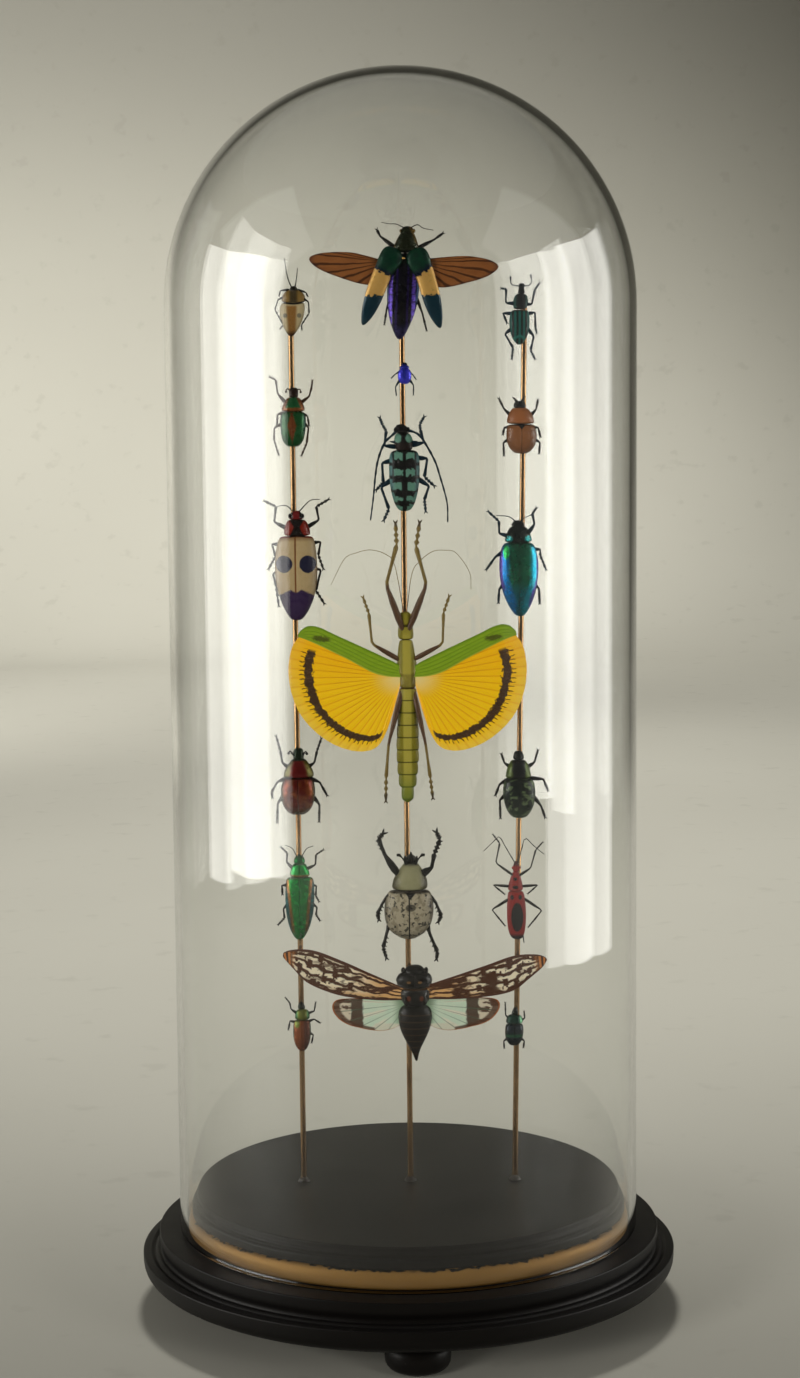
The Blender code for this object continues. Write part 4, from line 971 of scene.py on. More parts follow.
fan = Finish("yellow_fan", PLACE, Roughness=0.5, Specular_IOR_Level=0.25)
reach, turn_round = surface_map(fan)
ribs = fan.ruled(turn_round * 24.0, 0.15, 0.03) * fan.ease(reach, 0.04, 0.3)
ribs = ribs * (0.45 + fan.ease(reach, 0.95, 0.4) * 0.55)
ragged = reach + (fan.noise(1.3, detail=3.0) - 0.5) * 0.075
under_band = fan.within(turn_round, 0.045, 0.745, 0.012)
dark_band = fan.within(ragged, 0.785, 0.86, 0.006) * under_band
teeth = fan.ruled(turn_round * 46.0 + fan.noise(3.0), 0.16, 0.08)
teeth = teeth * fan.within(reach + (fan.noise(2.0) - 0.5) * 0.03, 0.84, 0.905, 0.012) * under_band
pale_root = fan.ease(reach, 0.3, 0.0)
silk = fan.noise(1.4, detail=5.0)
mottle = fan.noise(9.0, detail=3.0)
colour = fan.paint(
    tint(236, 184, 12), (mottle, tint(240, 196, 26)), (silk * 0.5, tint(226, 170, 14)),
    (fan.ease(reach, 0.86, 1.0) * 0.7, tint(228, 190, 70)), (pale_root * 0.8, tint(214, 196, 140)),
    (fan.ease(turn_round, 0.3, 0.0) * 0.5, tint(232, 160, 8)),
    (fan.ease(turn_round, 0.78, 1.0) * 0.7, tint(222, 184, 104)), (ribs * 0.6, tint(184, 112, 14)),
    (teeth * 0.9, tint(66, 44, 18)), (dark_band, tint(48, 32, 20)), (dark_band * silk, tint(74, 54, 34)),
)
fan.feed(Base_Color=colour, Normal=fan.relief(ribs + silk * 0.3, 0.16))
# painted glow: the fans give off a little light of their own colour
painted_glow(fan, colour, 0.4)
parts = [
    membrane([FAN_HINGE], fan_rim, 4.3, 0.03, 30, 96, 24, 0.55),
    membrane(flipped([FAN_HINGE]), flipped(fan_rim), 4.3, 0.03, 30, 96, 24, 0.55),
]
stands_for(joined(NODE + "_fans", PLACE, parts), NODE, fan)

strip = Finish("green_wing_strip", PLACE, Roughness=0.42, Specular_IOR_Level=0.3)
height_up = surface_map(strip)[0]
long_veins = strip.ruled(height_up * 5.0, 0.12, 0.02)
leaf_grain = strip.noise(0.9, (4.0, 1.0, 1.0), 4.0)
fleck = strip.spot(
    abs(strip.u), strip.v + (strip.noise(0.5, detail=2.0) - 0.5) * 3.0 - (abs(strip.u) - 35.0) * 0.1,
    (35.0, 15.2), (3.6, 1.2), 0.5,
)
colour = strip.paint(
    tint(142, 168, 38), (leaf_grain, tint(108, 144, 24)), (long_veins * 0.55, tint(82, 116, 20)),
    (strip.ease(height_up, 0.12, 0.0) * 0.8, tint(170, 180, 60)),
    (strip.ease(height_up, 0.9, 1.0) * 0.7, tint(66, 104, 16)), (fleck * 0.8, tint(62, 56, 22)),
)
strip.feed(Base_Color=colour, Normal=strip.relief(long_veins + leaf_grain * 0.5, 0.14))
# painted glow: the strips give off a little light of their own colour
painted_glow(strip, colour, 0.3)
parts = [
    membrane(low, top, 5.0, 0.03, 14, 60, camber=0.6, thick=0.22)
    for low, top in ((strip_low, strip_top), (flipped(strip_low), flipped(strip_top)))
]
stands_for(joined(NODE + "_green_strips", PLACE, parts), NODE, strip)

stick = Finish("green_stick_body", PLACE, Coat_Weight=0.14, Coat_Roughness=0.2)
u, v = stick.u, stick.v
ring_lines = stick.ruled((v + 51.0) / 5.1, 0.42, 0.48) * stick.ease(v, -2.0, -6.0)
collar = stick.within(v, 19.6, 20.3) + stick.within(v, 14.3, 14.9)
# painted highlight: a pale yellow stripe down the crest of the body
crest_highlight = stick.ease(abs(u + 0.3), 2.2, 1.2)
skin = stick.noise(1.8, (1.0, 1.0, 2.0), 5.0)
colour = stick.paint(
    tint(128, 120, 28), (skin, tint(172, 160, 54)), (crest_highlight * 0.75, tint(222, 206, 90)),
    (ring_lines * 0.85, tint(62, 60, 20)), (stick.ease(v, -36.0, -52.0) * 0.8, tint(112, 138, 40)),
    (stick.ease(v, 14.0, 20.0) * 0.7, tint(142, 132, 34)), (collar * 0.8, tint(46, 40, 18)),
    (stick.within(v, -5.6, 0.6, 0.6) * skin * 0.9, tint(92, 70, 40)),
)
shell(stick, colour, shine=0.26, pits=0.35, pit_size=0.7, depth=0.12)
trunk = [
    (14.6, -0.6, 2.2, 2.6), (13.6, -0.6, 3.0, 3.0), (9.0, -0.5, 3.5, 3.8), (4.0, -0.3, 4.2, 4.6),
    (1.0, -0.1, 4.4, 5.0), (-1.0, 0.0, 3.1, 4.4), (-3.4, 0.0, 3.8, 4.8), (-5.6, 0.0, 3.1, 4.2),
]
abdomen = []
for i in range(9):
    top = -5.4 - 5.1 * i
    half = 3.5 + 1.2 * sin(pi * min(1.0, (i + 0.6) / 8.0) ** 1.4)
    half = half if i < 8 else 2.6
    thick = 4.2 - 0.16 * i
    abdomen += [
        (top, -0.05 * i, half * 0.93, thick * 0.95), (top - 0.5, -0.05 * i, half, thick),
        (top - 4.6, -0.05 * i, half * 1.02, thick),
    ]
abdomen += [(-51.6, -0.5, 1.9, 1.9), (-52.6, -0.5, 0.9, 1.1)]
parts = [
    lofted(trunk), lofted(abdomen),
    lofted(
        [
            (20.4, -0.8, 2.3, 2.4), (19.6, -0.7, 3.1, 2.9), (17.4, -0.7, 3.2, 3.1), (15.4, -0.6, 3.3, 3.0),
            (14.4, -0.6, 2.4, 2.6),
        ]
    ),
    lofted(
        [
            (26.0, -0.8, 1.3, 1.3), (25.2, -0.8, 2.2, 2.2), (23.2, -0.8, 2.7, 2.9), (21.4, -0.8, 2.5, 2.8),
            (20.2, -0.8, 2.0, 2.3),
        ]
    ),
]
parts += [lofted(knob(u_eye, 24.2, 0.55, 0.8, 1.8), rest=2.2, sides=12) for u_eye in (-3.3, 1.7)]
stands_for(joined(NODE + "_body", PLACE, parts), NODE, stick)

stilt = Finish("olive_leg", PLACE, Coat_Weight=0.08)
fuzz = stilt.noise(0.6, (1.0, 1.0, 4.0), 3.0)
hind_thigh = stilt.ease(stilt.v, -29.5, -27.0) * stilt.ease(stilt.v, 0.0, -4.0)
front_thigh = stilt.ease(stilt.v, 38.4, 36.4) * stilt.ease(abs(stilt.u), 13.5, 12.0)
feet = stilt.ease(abs(stilt.v - 6.0), 54.0, 55.0)
colour = stilt.paint(
    tint(160, 136, 66), (fuzz, tint(120, 98, 48)),
    (stilt.ease(stilt.v, 0.0, 4.0) * front_thigh * 0.9, tint(86, 54, 38)),
    (hind_thigh * 0.9, tint(86, 54, 38)), (feet * 0.8, tint(44, 30, 22)),
)
stilt.feed(Base_Color=colour, Roughness=0.4 + fuzz * 0.2, Normal=stilt.relief(fuzz, 0.08))
lines = legs(
    [(-1.4, 17.4), (-8.4, 37.2), (-4.0, 53.1), (-4.4, 62.0)],
    [(0.2, 17.6), (7.9, 37.1), (3.8, 52.2), (5.4, 62.2)],
    thick=0.75, level=3.2,
)
lines += legs(
    [(-1.8, 5.4), (-14.4, 13.1), (-15.6, 25.4), (-17.9, 31.8)],
    [(1.4, 5.8), (14.3, 12.8), (14.8, 25.4), (17.2, 32.0)],
    [(-1.8, -4.0), (-8.0, -27.6), (-9.2, -42.0), (-9.4, -52.1)],
    [(1.8, -4.0), (7.0, -27.6), (8.9, -42.2), (9.9, -50.9)],
    thick=0.62, level=3.2,
)
for points in (
    [(-1.4, 25.6), (-4.8, 44.6), (-8.2, 49.2), (-14.4, 51.2), (-20.2, 50.1), (-25.3, 47.5), (-30.9, 37.0)],
    [
        (-0.2, 25.6), (2.1, 41.4), (5.7, 46.8), (10.7, 50.4), (15.4, 50.8), (20.0, 49.7), (25.4, 41.9),
        (26.1, 34.6),
    ],
):
    lines += feeler(points, 0.16, 3.4, 30)
stands_for(joined(NODE + "_limbs", PLACE, [strands(lines)]), NODE, stilt)

# ---------------------------------------------------------------------------------------------------
# Horned scarab, below the stick insect on the centre rod. A heavy, domed beetle with a waxed olive back
# plate with a painted highlight down its pale middle, mottled grey wing cases, a forked grey head horn,
# and thick toothed front legs.
PLACE, NODE = (1.4, 170.3), "horned_scarab_beetle"
scarab = Finish("mottled_olive_shell", PLACE, Coat_Weight=0.16, Coat_Roughness=0.16)
u, v = scarab.u, scarab.v
blotches = scarab.ease(scarab.noise(2.6, detail=4.0), 0.48, 0.58)
speckle = scarab.ease(scarab.noise(1.8, detail=3.0), 0.56, 0.6)
cases = scarab.ease(v, 3.6, 3.0)
seam = scarab.ease(abs(u - 0.1), 0.4, 0.16) * cases
scutellum = scarab.ease(abs(u - 0.6) - (v - 0.2) * 0.8, 0.5, 0.1) * scarab.within(v, -0.6, 2.6)
front_edge = scarab.within(v, 2.2, 3.8, 0.3)
# the ground colour shows on the back plate only: its pale middle is a painted highlight, its sides olive
colour = scarab.paint(
    tint(196, 192, 150), (scarab.noise(5.0), tint(150, 146, 102)),
    (scarab.ease(abs(u - 0.5), 3.0, 6.4), tint(92, 86, 52)), (scarab.ease(v, 12.6, 14.2), tint(66, 64, 60)),
    (cases, tint(200, 188, 158)), (cases * blotches * 0.6, tint(144, 130, 104)),
    (cases * speckle * 0.85, tint(26, 22, 20)),
    (cases * scarab.ease(abs(u), 8.0, 10.0) * 0.7, tint(50, 40, 30)), (front_edge * 0.85, tint(38, 26, 20)),
    (scarab.spot(u, v, (0.7, -3.4), (2.1, 1.5), 0.3) * 0.8, tint(26, 20, 18)),
    (scarab.either(seam, scutellum), tint(18, 14, 13)),
)
shell(scarab, colour, shine=0.22, pits=0.5, pit_size=0.6, ridges=0.12, ridge_gap=1.9, depth=0.14)
bodies = [
    lofted(
        [
            (3.2, 0.2, 7.2, 7.0), (2.2, 0.2, 9.2, 9.4), (-4.0, 0.0, 10.6, 10.4), (-11.0, -0.2, 9.8, 9.4),
            (-14.8, -0.3, 7.3, 7.4), (-17.2, -0.3, 3.6, 4.0), (-17.9, -0.3, 2.0, 2.4),
        ],
        suture=0.14, sides=24,
    ),
    lofted(
        [
            (3.0, 0.3, 6.8, 8.0), (4.2, 0.4, 7.6, 9.2), (8.0, 0.6, 7.0, 9.0), (11.0, 0.8, 5.2, 7.2),
            (13.2, 0.9, 3.4, 5.4), (14.4, 0.9, 2.6, 4.0),
        ],
        sides=24,
    ),
    lofted([(13.6, 1.0, 2.9, 4.8), (15.4, 1.0, 2.7, 4.4), (16.8, 0.9, 1.7, 3.2), (17.3, 0.9, 1.0, 2.2)]),
]
stands_for(joined(NODE + "_body", PLACE, bodies), NODE, scarab)
lines = [
    [
        (0.9, 15.2, 6.2, 1.15), (0.9, 16.4, 7.4, 1.0), (0.9, 17.8, 8.0, 0.75), (0.9, 19.0, 7.6, 0.45),
        (0.9, 19.3, 7.4, 0.1),
    ],
]
for way in (-1, 1):
    lines += [
        [
            (0.9 + way * 1.6, 14.2, 5.6, 1.0), (0.9 + way * 2.4, 15.8, 6.4, 0.8),
            (0.9 + way * 2.5, 17.4, 6.6, 0.25),
        ],
        [
            (0.9 + way * 2.6, 15.0, 4.4, 0.35), (0.9 + way * 3.8, 16.6, 4.3, 0.3),
            (0.9 + way * 4.6, 17.4, 4.2, 0.7), (0.9 + way * 5.8, 17.4, 4.2, 0.6),
        ],
    ]
for joints, thick in (
    ([(-4.0, 9.0), (-9.7, 17.6), (-12.3, 24.0), (-10.4, 26.0)], 0.95),
    ([(4.5, 9.0), (9.4, 12.2), (10.6, 17.8), (12.9, 23.7), (11.6, 26.3)], 0.95),
    ([(-6.5, 2.0), (-10.6, -1.9), (-13.0, -7.1), (-12.5, -9.7)], 0.7),
    ([(6.5, 2.0), (10.9, -2.1), (13.3, -8.1), (12.1, -10.9)], 0.7),
    ([(-6.5, -6.0), (-9.1, -14.3), (-10.8, -21.1), (-9.5, -25.9)], 0.7),
    ([(6.0, -6.0), (8.4, -15.2), (11.6, -23.3), (11.2, -26.5)], 0.7),
):
    lines += leg(joints, thick, BELLY + 3.6)
    # three teeth along the outer edge of the shin
    knee, ankle = Vector(joints[-3]), Vector(joints[-2])
    across = (ankle - knee).orthogonal().normalized() * (1.5 if knee.x > 0 else -1.5)
    for share in (0.35, 0.6, 0.85):
        root = knee.lerp(ankle, share)
        tip = root - across + (ankle - knee) * 0.1
        lines.append([(root.x, root.y, 3.4, thick * 0.8), (tip.x, tip.y, 3.2, 0.1)])
stands_for(joined(NODE + "_limbs", PLACE, [strands(lines)]), NODE, black_limb)

# ---------------------------------------------------------------------------------------------------
# Mint-winged cicada, lowest on the centre rod. A lumpy black body between two pairs of spread wings:
# long fore wings netted with dark veins over cream and amber, and short hind wings of mint green.
PLACE, NODE = (3.4, 125.2), "mint_winged_cicada"
cicada = Finish("black_cicada_shell", PLACE, Coat_Weight=0.12, Coat_Roughness=0.16)
u, v = cicada.u, cicada.v
dusk = cicada.noise(1.4, detail=4.0)
rings = cicada.ruled((v + 24.0) / 2.9, 0.38, 0.48) * cicada.ease(v, -1.0, -3.0)
marks = cicada.either(
    cicada.spot(abs(u + 0.1), v, (2.3, 10.1), (0.9, 0.5), 0.4),
    cicada.spot(abs(u + 0.3), v, (5.9, 7.5), (1.0, 0.55), 0.4),
)
rust = cicada.spot(abs(u - 0.2), v, (2.6, 3.6), (0.8, 1.1), 0.5)
colour = cicada.paint(
    tint(5, 4, 4), (dusk * 0.7, tint(18, 13, 11)), (cicada.ease(v, -2.0, -12.0) * 0.5, tint(26, 17, 13)),
    (rings * 0.8, tint(78, 56, 38)), (marks * 0.8, tint(150, 112, 70)), (rust * 0.8, tint(112, 52, 26)),
    (cicada.within(v, 6.9, 7.5, 0.3) * 0.7, tint(92, 64, 40)),
)
shell(cicada, colour, shine=0.24, pits=0.4, pit_size=0.7, depth=0.16)
bodies = [
    lofted([(16.4, 0.1, 1.8, 2.6), (15.6, 0.1, 3.4, 4.2), (14.0, 0.1, 4.6, 5.6), (12.8, 0.0, 4.6, 5.8)]),
    lofted(
        [
            (13.6, 0.0, 5.6, 6.0), (12.6, 0.0, 6.8, 7.2), (10.4, -0.2, 7.9, 8.0), (9.2, -0.1, 7.2, 7.8),
            (8.0, 0.0, 7.4, 8.4), (7.1, 0.1, 5.8, 7.2),
        ],
        suture=0.25,
    ),
    lofted(
        [
            (7.6, 0.2, 5.6, 7.4), (6.6, 0.2, 6.8, 8.8), (3.0, 0.2, 6.6, 9.2), (0.6, 0.2, 5.0, 8.0),
            (-0.8, 0.2, 3.0, 6.2),
        ]
    ),
    lofted(
        [
            (0.8, 0.2, 5.4, 7.0), (-3.0, 0.2, 7.5, 8.4), (-9.0, 0.1, 6.9, 7.4), (-14.6, 0.0, 4.6, 5.0),
            (-19.0, 0.2, 2.1, 2.8), (-22.2, 0.4, 1.0, 1.7), (-24.6, 0.6, 0.5, 0.9),
        ]
    ),
]
bodies += [lofted(knob(side * 4.7 + 0.1, 14.2, 1.1, 1.3, 3.2), rest=2.8, sides=12) for side in (-1, 1)]
bodies += [lofted(knob(side * 2.3, 9.9, 1.3, 0.9, 1.6), rest=7.6, sides=12) for side in (-1, 1)]
bodies += [lofted(knob(side * 3.6 + 0.2, 2.6, 1.5, 2.4, 1.6), rest=8.4, sides=12) for side in (-1, 1)]
stands_for(joined(NODE + "_body", PLACE, bodies), NODE, cicada)

fore = Finish("netted_fore_wing", PLACE, Roughness=0.4, Specular_IOR_Level=0.25)
height_up, along = surface_map(fore)
wander = (fore.noise(6.0, detail=2.0) - 0.5) * 0.35
row = (height_up + wander) * 4.0 + 0.2
long_veins = fore.ruled(row, 0.26, 0.14)
stepped = fore.math("FLOOR", row) * 0.37
crossing = fore.ruled(along * 5.0 + stepped, 0.14, 0.07) * fore.ease(along, 0.3, 0.42)
knots = fore.ease(fore.noise(2.0, detail=2.0), 0.57, 0.62) * fore.ease(along, 0.35, 0.55)
streaks = fore.ease(fore.noise(3.0, (3.0, 1.0, 1.0), 3.0), 0.5, 0.58) * fore.ease(along, 0.95, 0.5)
tip = fore.ease(along, 0.86, 0.93)
tip_bars = fore.ruled(along * 26.0, 0.3, 0.2)
edge = fore.either(fore.ease(height_up, 0.88, 0.92), fore.ease(height_up, 0.09, 0.05))
cells = fore.paint(
    tint(222, 212, 186), (fore.noise(4.0), tint(206, 192, 156)),
    (fore.ease(along, 0.5, 0.15) * 0.9, tint(196, 146, 84)),
    (fore.ease(height_up, 0.3, 0.1) * fore.ease(along, 0.7, 0.4) * 0.8, tint(190, 146, 88)),
)
dark = fore.either(long_veins, crossing, knots, streaks)
colour = fore.paint(
    cells, (dark, tint(62, 32, 14)), (tip, tint(176, 112, 56)), (tip * tip_bars, tint(56, 30, 16)),
    (edge, tint(66, 34, 20)),
)
fore.feed(Base_Color=colour, Normal=fore.relief(dark, 0.12))
# painted glow: the fore wings give off a little light of their own colour
painted_glow(fore, colour, 0.34)
fore_top = [
    (-3.0, 7.0), (-17.6, 13.4), (-28.9, 18.5), (-40.3, 22.9), (-47.9, 23.7), (-53.4, 22.6), (-54.2, 20.5),
]
fore_low = [
    (-3.0, 2.6), (-14.0, 2.4), (-25.3, 3.4), (-34.4, 5.4), (-44.3, 9.8), (-50.3, 16.0), (-54.2, 20.5),
]
right_top = [(3.0, 8.0), (17.6, 12.6), (30.0, 16.6), (41.0, 20.2), (50.0, 20.6), (54.0, 19.4), (54.8, 18.1)]
right_low = [(3.0, 3.0), (17.0, 2.6), (31.9, 3.6), (41.1, 5.8), (47.2, 10.4), (52.6, 15.0), (54.8, 18.1)]
parts = [
    membrane(low, top, 7.2, 0.05, 16, 72, camber=0.7)
    for low, top in ((fore_low, fore_top), (right_low, right_top))
]
stands_for(joined(NODE + "_fore_wings", PLACE, parts), NODE, fore)

hind = Finish("mint_hind_wing", PLACE, Roughness=0.45, Specular_IOR_Level=0.25)
reach, turn_round = surface_map(hind)
u, v = abs(hind.u), hind.v
lobe_low = hind.ease(v + (hind.noise(2.0) - 0.5), -7.4, -8.2) * hind.ease(u, 17.5, 15.5)
ribs = hind.ruled(turn_round * 11.0, 0.08, 0.02)
cream_rays = hind.ruled(turn_round * 5.5 + 0.3, 0.2, 0.08) * hind.ease(u, 10.0, 14.0)
tip_streaks = hind.ease(hind.noise(1.6, (3.0, 1.0, 1.0)), 0.5, 0.58)
band = hind.within(u + (hind.noise(2.4) - 0.5) * 2.0, 21.4, 26.4, 0.4)
beyond = hind.ease(u, 25.8, 26.6)
border = hind.ease(reach, 0.88, 0.92) * hind.ease(lobe_low, 0.9, 0.1)
colour = hind.paint(
    tint(188, 210, 184), (hind.noise(3.0), tint(206, 216, 190)), (cream_rays * 0.8, tint(222, 214, 190)),
    (hind.ease(u, 10.0, 5.0) * 0.8, tint(120, 150, 112)), (lobe_low, tint(206, 204, 180)),
    (beyond, tint(206, 194, 168)), (beyond * tip_streaks * 0.95, tint(72, 42, 24)),
    (band * 0.95, tint(64, 36, 20)), (ribs * 0.6, tint(74, 96, 74)), (border * 0.9, tint(78, 46, 28)),
    (hind.ease(reach, 0.97, 0.99) * 0.8, tint(158, 88, 40)),
)
hind.feed(Base_Color=colour, Normal=hind.relief(ribs, 0.12))
# painted glow: the hind wings give off a little light of their own colour
painted_glow(hind, colour, 0.24)
hind_rim = [
    (-4.0, 2.6), (-12.0, 2.8), (-22.0, 2.8), (-31.0, 2.4), (-33.9, 0.4), (-33.4, -3.4), (-29.4, -7.4),
    (-23.1, -9.6), (-14.0, -10.9), (-7.0, -9.0), (-4.0, -5.0),
]
right_rim = [
    (4.0, 2.6), (12.0, 2.8), (22.0, 2.8), (32.0, 2.3), (35.1, 0.4), (34.4, -3.4), (30.2, -7.4),
    (23.1, -9.6), (14.0, -10.9), (7.0, -9.0), (4.0, -5.0),
]
parts = [
    membrane([(-2.5, 0.5)], hind_rim, 5.2, 0.04, 16, 60, 11, 0.35),
    membrane([(2.5, 0.5)], right_rim, 5.2, 0.04, 16, 60, 11, 0.35),
]
stands_for(joined(NODE + "_hind_wings", PLACE, parts), NODE, hind)

# ---------------------------------------------------------------------------------------------------
# Cream shield bug, at the top of the left rod. A flat bug with a tan collar edged in black, a cream
# shield of a back with an ochre middle, and thin black feelers.
PLACE, NODE = (-43.4, 409.1), "cream_shield_bug"
shield = Finish("cream_shield", PLACE, Coat_Weight=0.12, Coat_Roughness=0.2)
u, v = shield.u, shield.v
dusty = shield.noise(0.7, detail=4.0)
ochre = shield.ease(abs(u + 0.2) - (v + 12.0) * 0.06, 1.9, 0.5) * shield.ease(v, 2.8, 1.4)
collar = shield.within(v - abs(u - 0.4) * abs(u - 0.4) * 0.035, 2.5, 3.3, 0.15)
colour = shield.paint(
    tint(228, 208, 160), (dusty * 0.5, tint(196, 172, 120)), (ochre, tint(182, 132, 66)),
    (ochre * dusty, tint(120, 80, 38)), (shield.ease(v, -7.0, -9.6), tint(64, 38, 20)),
    (shield.spot(abs(u), v, (2.8, -1.8), (0.9, 0.9), 0.4) * 0.7, tint(92, 92, 88)),
    (shield.ease(v, 3.2, 3.6), tint(152, 120, 60)),
    (shield.ease(v, 3.2, 3.6) * shield.ease(abs(u - 0.6), 2.4, 0.8) * 0.9, tint(48, 40, 24)),
    (shield.ease(v, 8.0, 8.5), tint(26, 22, 16)), (collar, tint(14, 12, 11)),
)
shell(shield, colour, shine=0.28, pits=0.5, pit_size=0.3)
bodies = [
    lofted(
        [
            (3.6, 0.4, 3.9, 2.6), (2.8, 0.3, 4.9, 3.3), (1.0, 0.0, 5.2, 3.6), (-2.0, -0.2, 5.0, 3.4),
            (-6.0, -0.4, 3.6, 2.6), (-9.0, -0.6, 1.7, 1.5), (-10.1, -0.6, 0.5, 0.9),
        ]
    ),
    lofted(
        [
            (3.1, 0.5, 4.4, 3.2), (4.4, 0.6, 5.0, 3.7), (6.6, 0.6, 4.6, 3.3), (8.2, 0.6, 2.8, 2.6),
            (8.7, 0.6, 1.8, 2.2),
        ]
    ),
    lofted([(8.2, 0.6, 1.7, 2.2), (9.3, 0.6, 1.5, 1.9), (10.1, 0.6, 0.7, 1.1)]),
]
lines = legs(
    [(-2.4, 6.0), (-5.6, 4.6), (-6.9, 0.6), (-3.6, -5.5), (-5.0, -6.9)],
    [(3.0, 6.0), (6.6, 3.6), (6.8, -0.9), (3.6, -5.6), (3.8, -7.3)],
    [(-1.0, 8.6), (-4.6, 8.2), (-5.2, 6.4)], [(2.2, 8.6), (5.6, 7.4), (6.2, 6.0)], thick=0.3, level=2.8,
)
lines += feeler([(-0.2, 9.4), (-1.8, 14.0), (-2.9, 21.1)], 0.26, 2.6, 5)
lines += feeler([(1.2, 9.4), (1.9, 13.0), (2.3, 17.2)], 0.26, 2.6, 5)
mounted(NODE, PLACE, shield, bodies, black_limb, lines)

# ---------------------------------------------------------------------------------------------------
# Green flower beetle, second on the left rod. Waxed green wing cases with a rust diamond down the seam,
# and a green collar bordered with orange brown.
PLACE, NODE = (-43.6, 366.6), "green_flower_beetle"
flower = Finish("green_rust_shell", PLACE, Metallic=0.4, Coat_Weight=0.2, Coat_Roughness=0.15)
u, v = flower.u, flower.v
patchy = flower.noise(1.1, detail=4.0)
diamond = flower.ease(abs(u + 0.4) + abs(v + 3.4) * 0.26 + (patchy - 0.5) * 1.6, 2.1, 1.4)
diamond = diamond * flower.ease(v, 2.2, 1.8)
collar = flower.ease(v, 2.2, 2.6)
border = flower.either(
    flower.ease(abs(u - 0.1) + (v - 2.4) * 0.42, 3.4, 4.2), flower.ease(v + (patchy - 0.5), 4.4, 3.4),
)
colour = flower.paint(
    tint(26, 100, 44), (patchy, tint(16, 74, 40)), (flower.ease(abs(u), 3.9, 5.0) * 0.8, tint(14, 70, 70)),
    (diamond * 0.9, tint(134, 66, 30)), (flower.ease(abs(u), 0.16, 0.06) * 0.6, tint(70, 30, 16)),
    (collar, tint(24, 96, 50)), (collar * border * 0.9, tint(146, 78, 34)),
    (flower.ease(v, 8.0, 8.4), tint(40, 26, 18)),
)
shell(flower, colour, shine=0.2, pits=0.5, pit_size=0.4, ridges=0.1, ridge_gap=1.3)
bodies = [
    lofted(
        [
            (2.7, 0.0, 3.8, 4.4), (1.7, 0.0, 5.0, 6.0), (-1.0, 0.0, 5.4, 6.6), (-6.0, -0.1, 5.1, 6.0),
            (-9.6, -0.2, 4.3, 4.8), (-11.3, -0.2, 2.8, 3.2), (-11.8, -0.2, 1.6, 1.8),
        ],
        suture=0.15,
    ),
    lofted(
        [
            (2.2, 0.0, 4.6, 5.2), (3.4, 0.1, 4.9, 6.0), (5.6, 0.1, 4.1, 5.3), (7.6, 0.2, 2.9, 4.2),
            (8.2, 0.2, 2.0, 3.2),
        ]
    ),
    lofted([(7.8, 0.3, 1.8, 2.8), (9.2, 0.3, 1.9, 2.8), (11.2, 0.3, 1.9, 2.3), (12.1, 0.3, 1.3, 1.3)]),
]
lines = legs(
    [(-2.0, 5.0), (-6.1, 9.6), (-6.8, 15.2), (-9.1, 16.3)],
    [(2.0, 5.0), (6.6, 8.4), (7.6, 12.0), (7.9, 14.6)],
    [(-3.0, -1.6), (-7.6, -4.0), (-7.8, -8.9), (-6.1, -14.8)],
    [(3.0, -1.2), (6.2, -4.0), (5.4, -10.2), (3.2, -15.2)], [(-3.4, 2.0), (-6.2, 1.4), (-6.6, -2.6)],
    [(3.4, 1.6), (5.8, 0.6), (6.3, -3.0)], thick=0.42,
)
lines += feeler([(-0.8, 10.6), (-2.2, 11.6), (-2.8, 10.2)], 0.3, 3.0, 4, 1.0)
lines += feeler([(1.4, 10.6), (2.8, 11.4), (3.2, 10.0)], 0.3, 3.0, 4, 1.0)
mounted(NODE, PLACE, flower, bodies, brown_limb, lines)

# ---------------------------------------------------------------------------------------------------
# Cream jewel beetle, third on the left rod. Cream wing cases with a pair of violet-black blots and a
# violet tip, under an orange red collar with a black hourglass.
PLACE, NODE = (-43.2, 304.8), "cream_jewel_beetle"
blotted = Finish("cream_blotted_shell", PLACE, Coat_Weight=0.24, Coat_Roughness=0.12)
u, v = blotted.u, blotted.v
patchy = blotted.noise(1.6, detail=4.0)
wobble = (blotted.noise(1.6, detail=2.0) - 0.5) * 1.4
collar = blotted.ease(v + abs(u - 0.5) * 0.12, 13.8, 14.2)
hourglass = blotted.ease(abs(u - 0.6) - abs(v - 17.6) * 0.55 + wobble * 0.4, 1.5, 0.9)
blots = blotted.spot(abs(u - 0.1) + wobble * 0.5, v + wobble * 0.7, (4.8, 2.9), (3.4, 3.5), 0.12)
apex = blotted.ease(v + wobble + abs(abs(u) - 2.4) * 0.5, -7.0, -8.0)
colour = blotted.paint(
    tint(222, 196, 146), (patchy * 0.7, tint(196, 164, 112)),
    (blotted.ease(abs(u), 6.8, 8.4) * 0.5, tint(150, 106, 60)),
    (blotted.ease(abs(u + 0.1), 0.5, 0.16), tint(136, 84, 40)),
    (blotted.ease(v, 11.6, 13.4) * 0.6, tint(146, 92, 50)), (blots, tint(34, 34, 60)),
    (apex, tint(46, 30, 72)), (apex * patchy * 0.6, tint(84, 54, 96)), (collar, tint(134, 28, 16)),
    (collar * patchy * 0.5, tint(160, 48, 24)), (collar * hourglass, tint(18, 12, 12)),
    (blotted.ease(v, 20.6, 21.2), tint(120, 24, 26)),
    (blotted.ease(v, 21.0, 21.6) * blotted.ease(abs(u - 0.3), 1.0, 1.7), tint(16, 12, 12)),
)
shell(blotted, colour, shine=0.2, pits=0.4, pit_size=0.5, ridges=0.22, ridge_gap=1.5, depth=0.12)
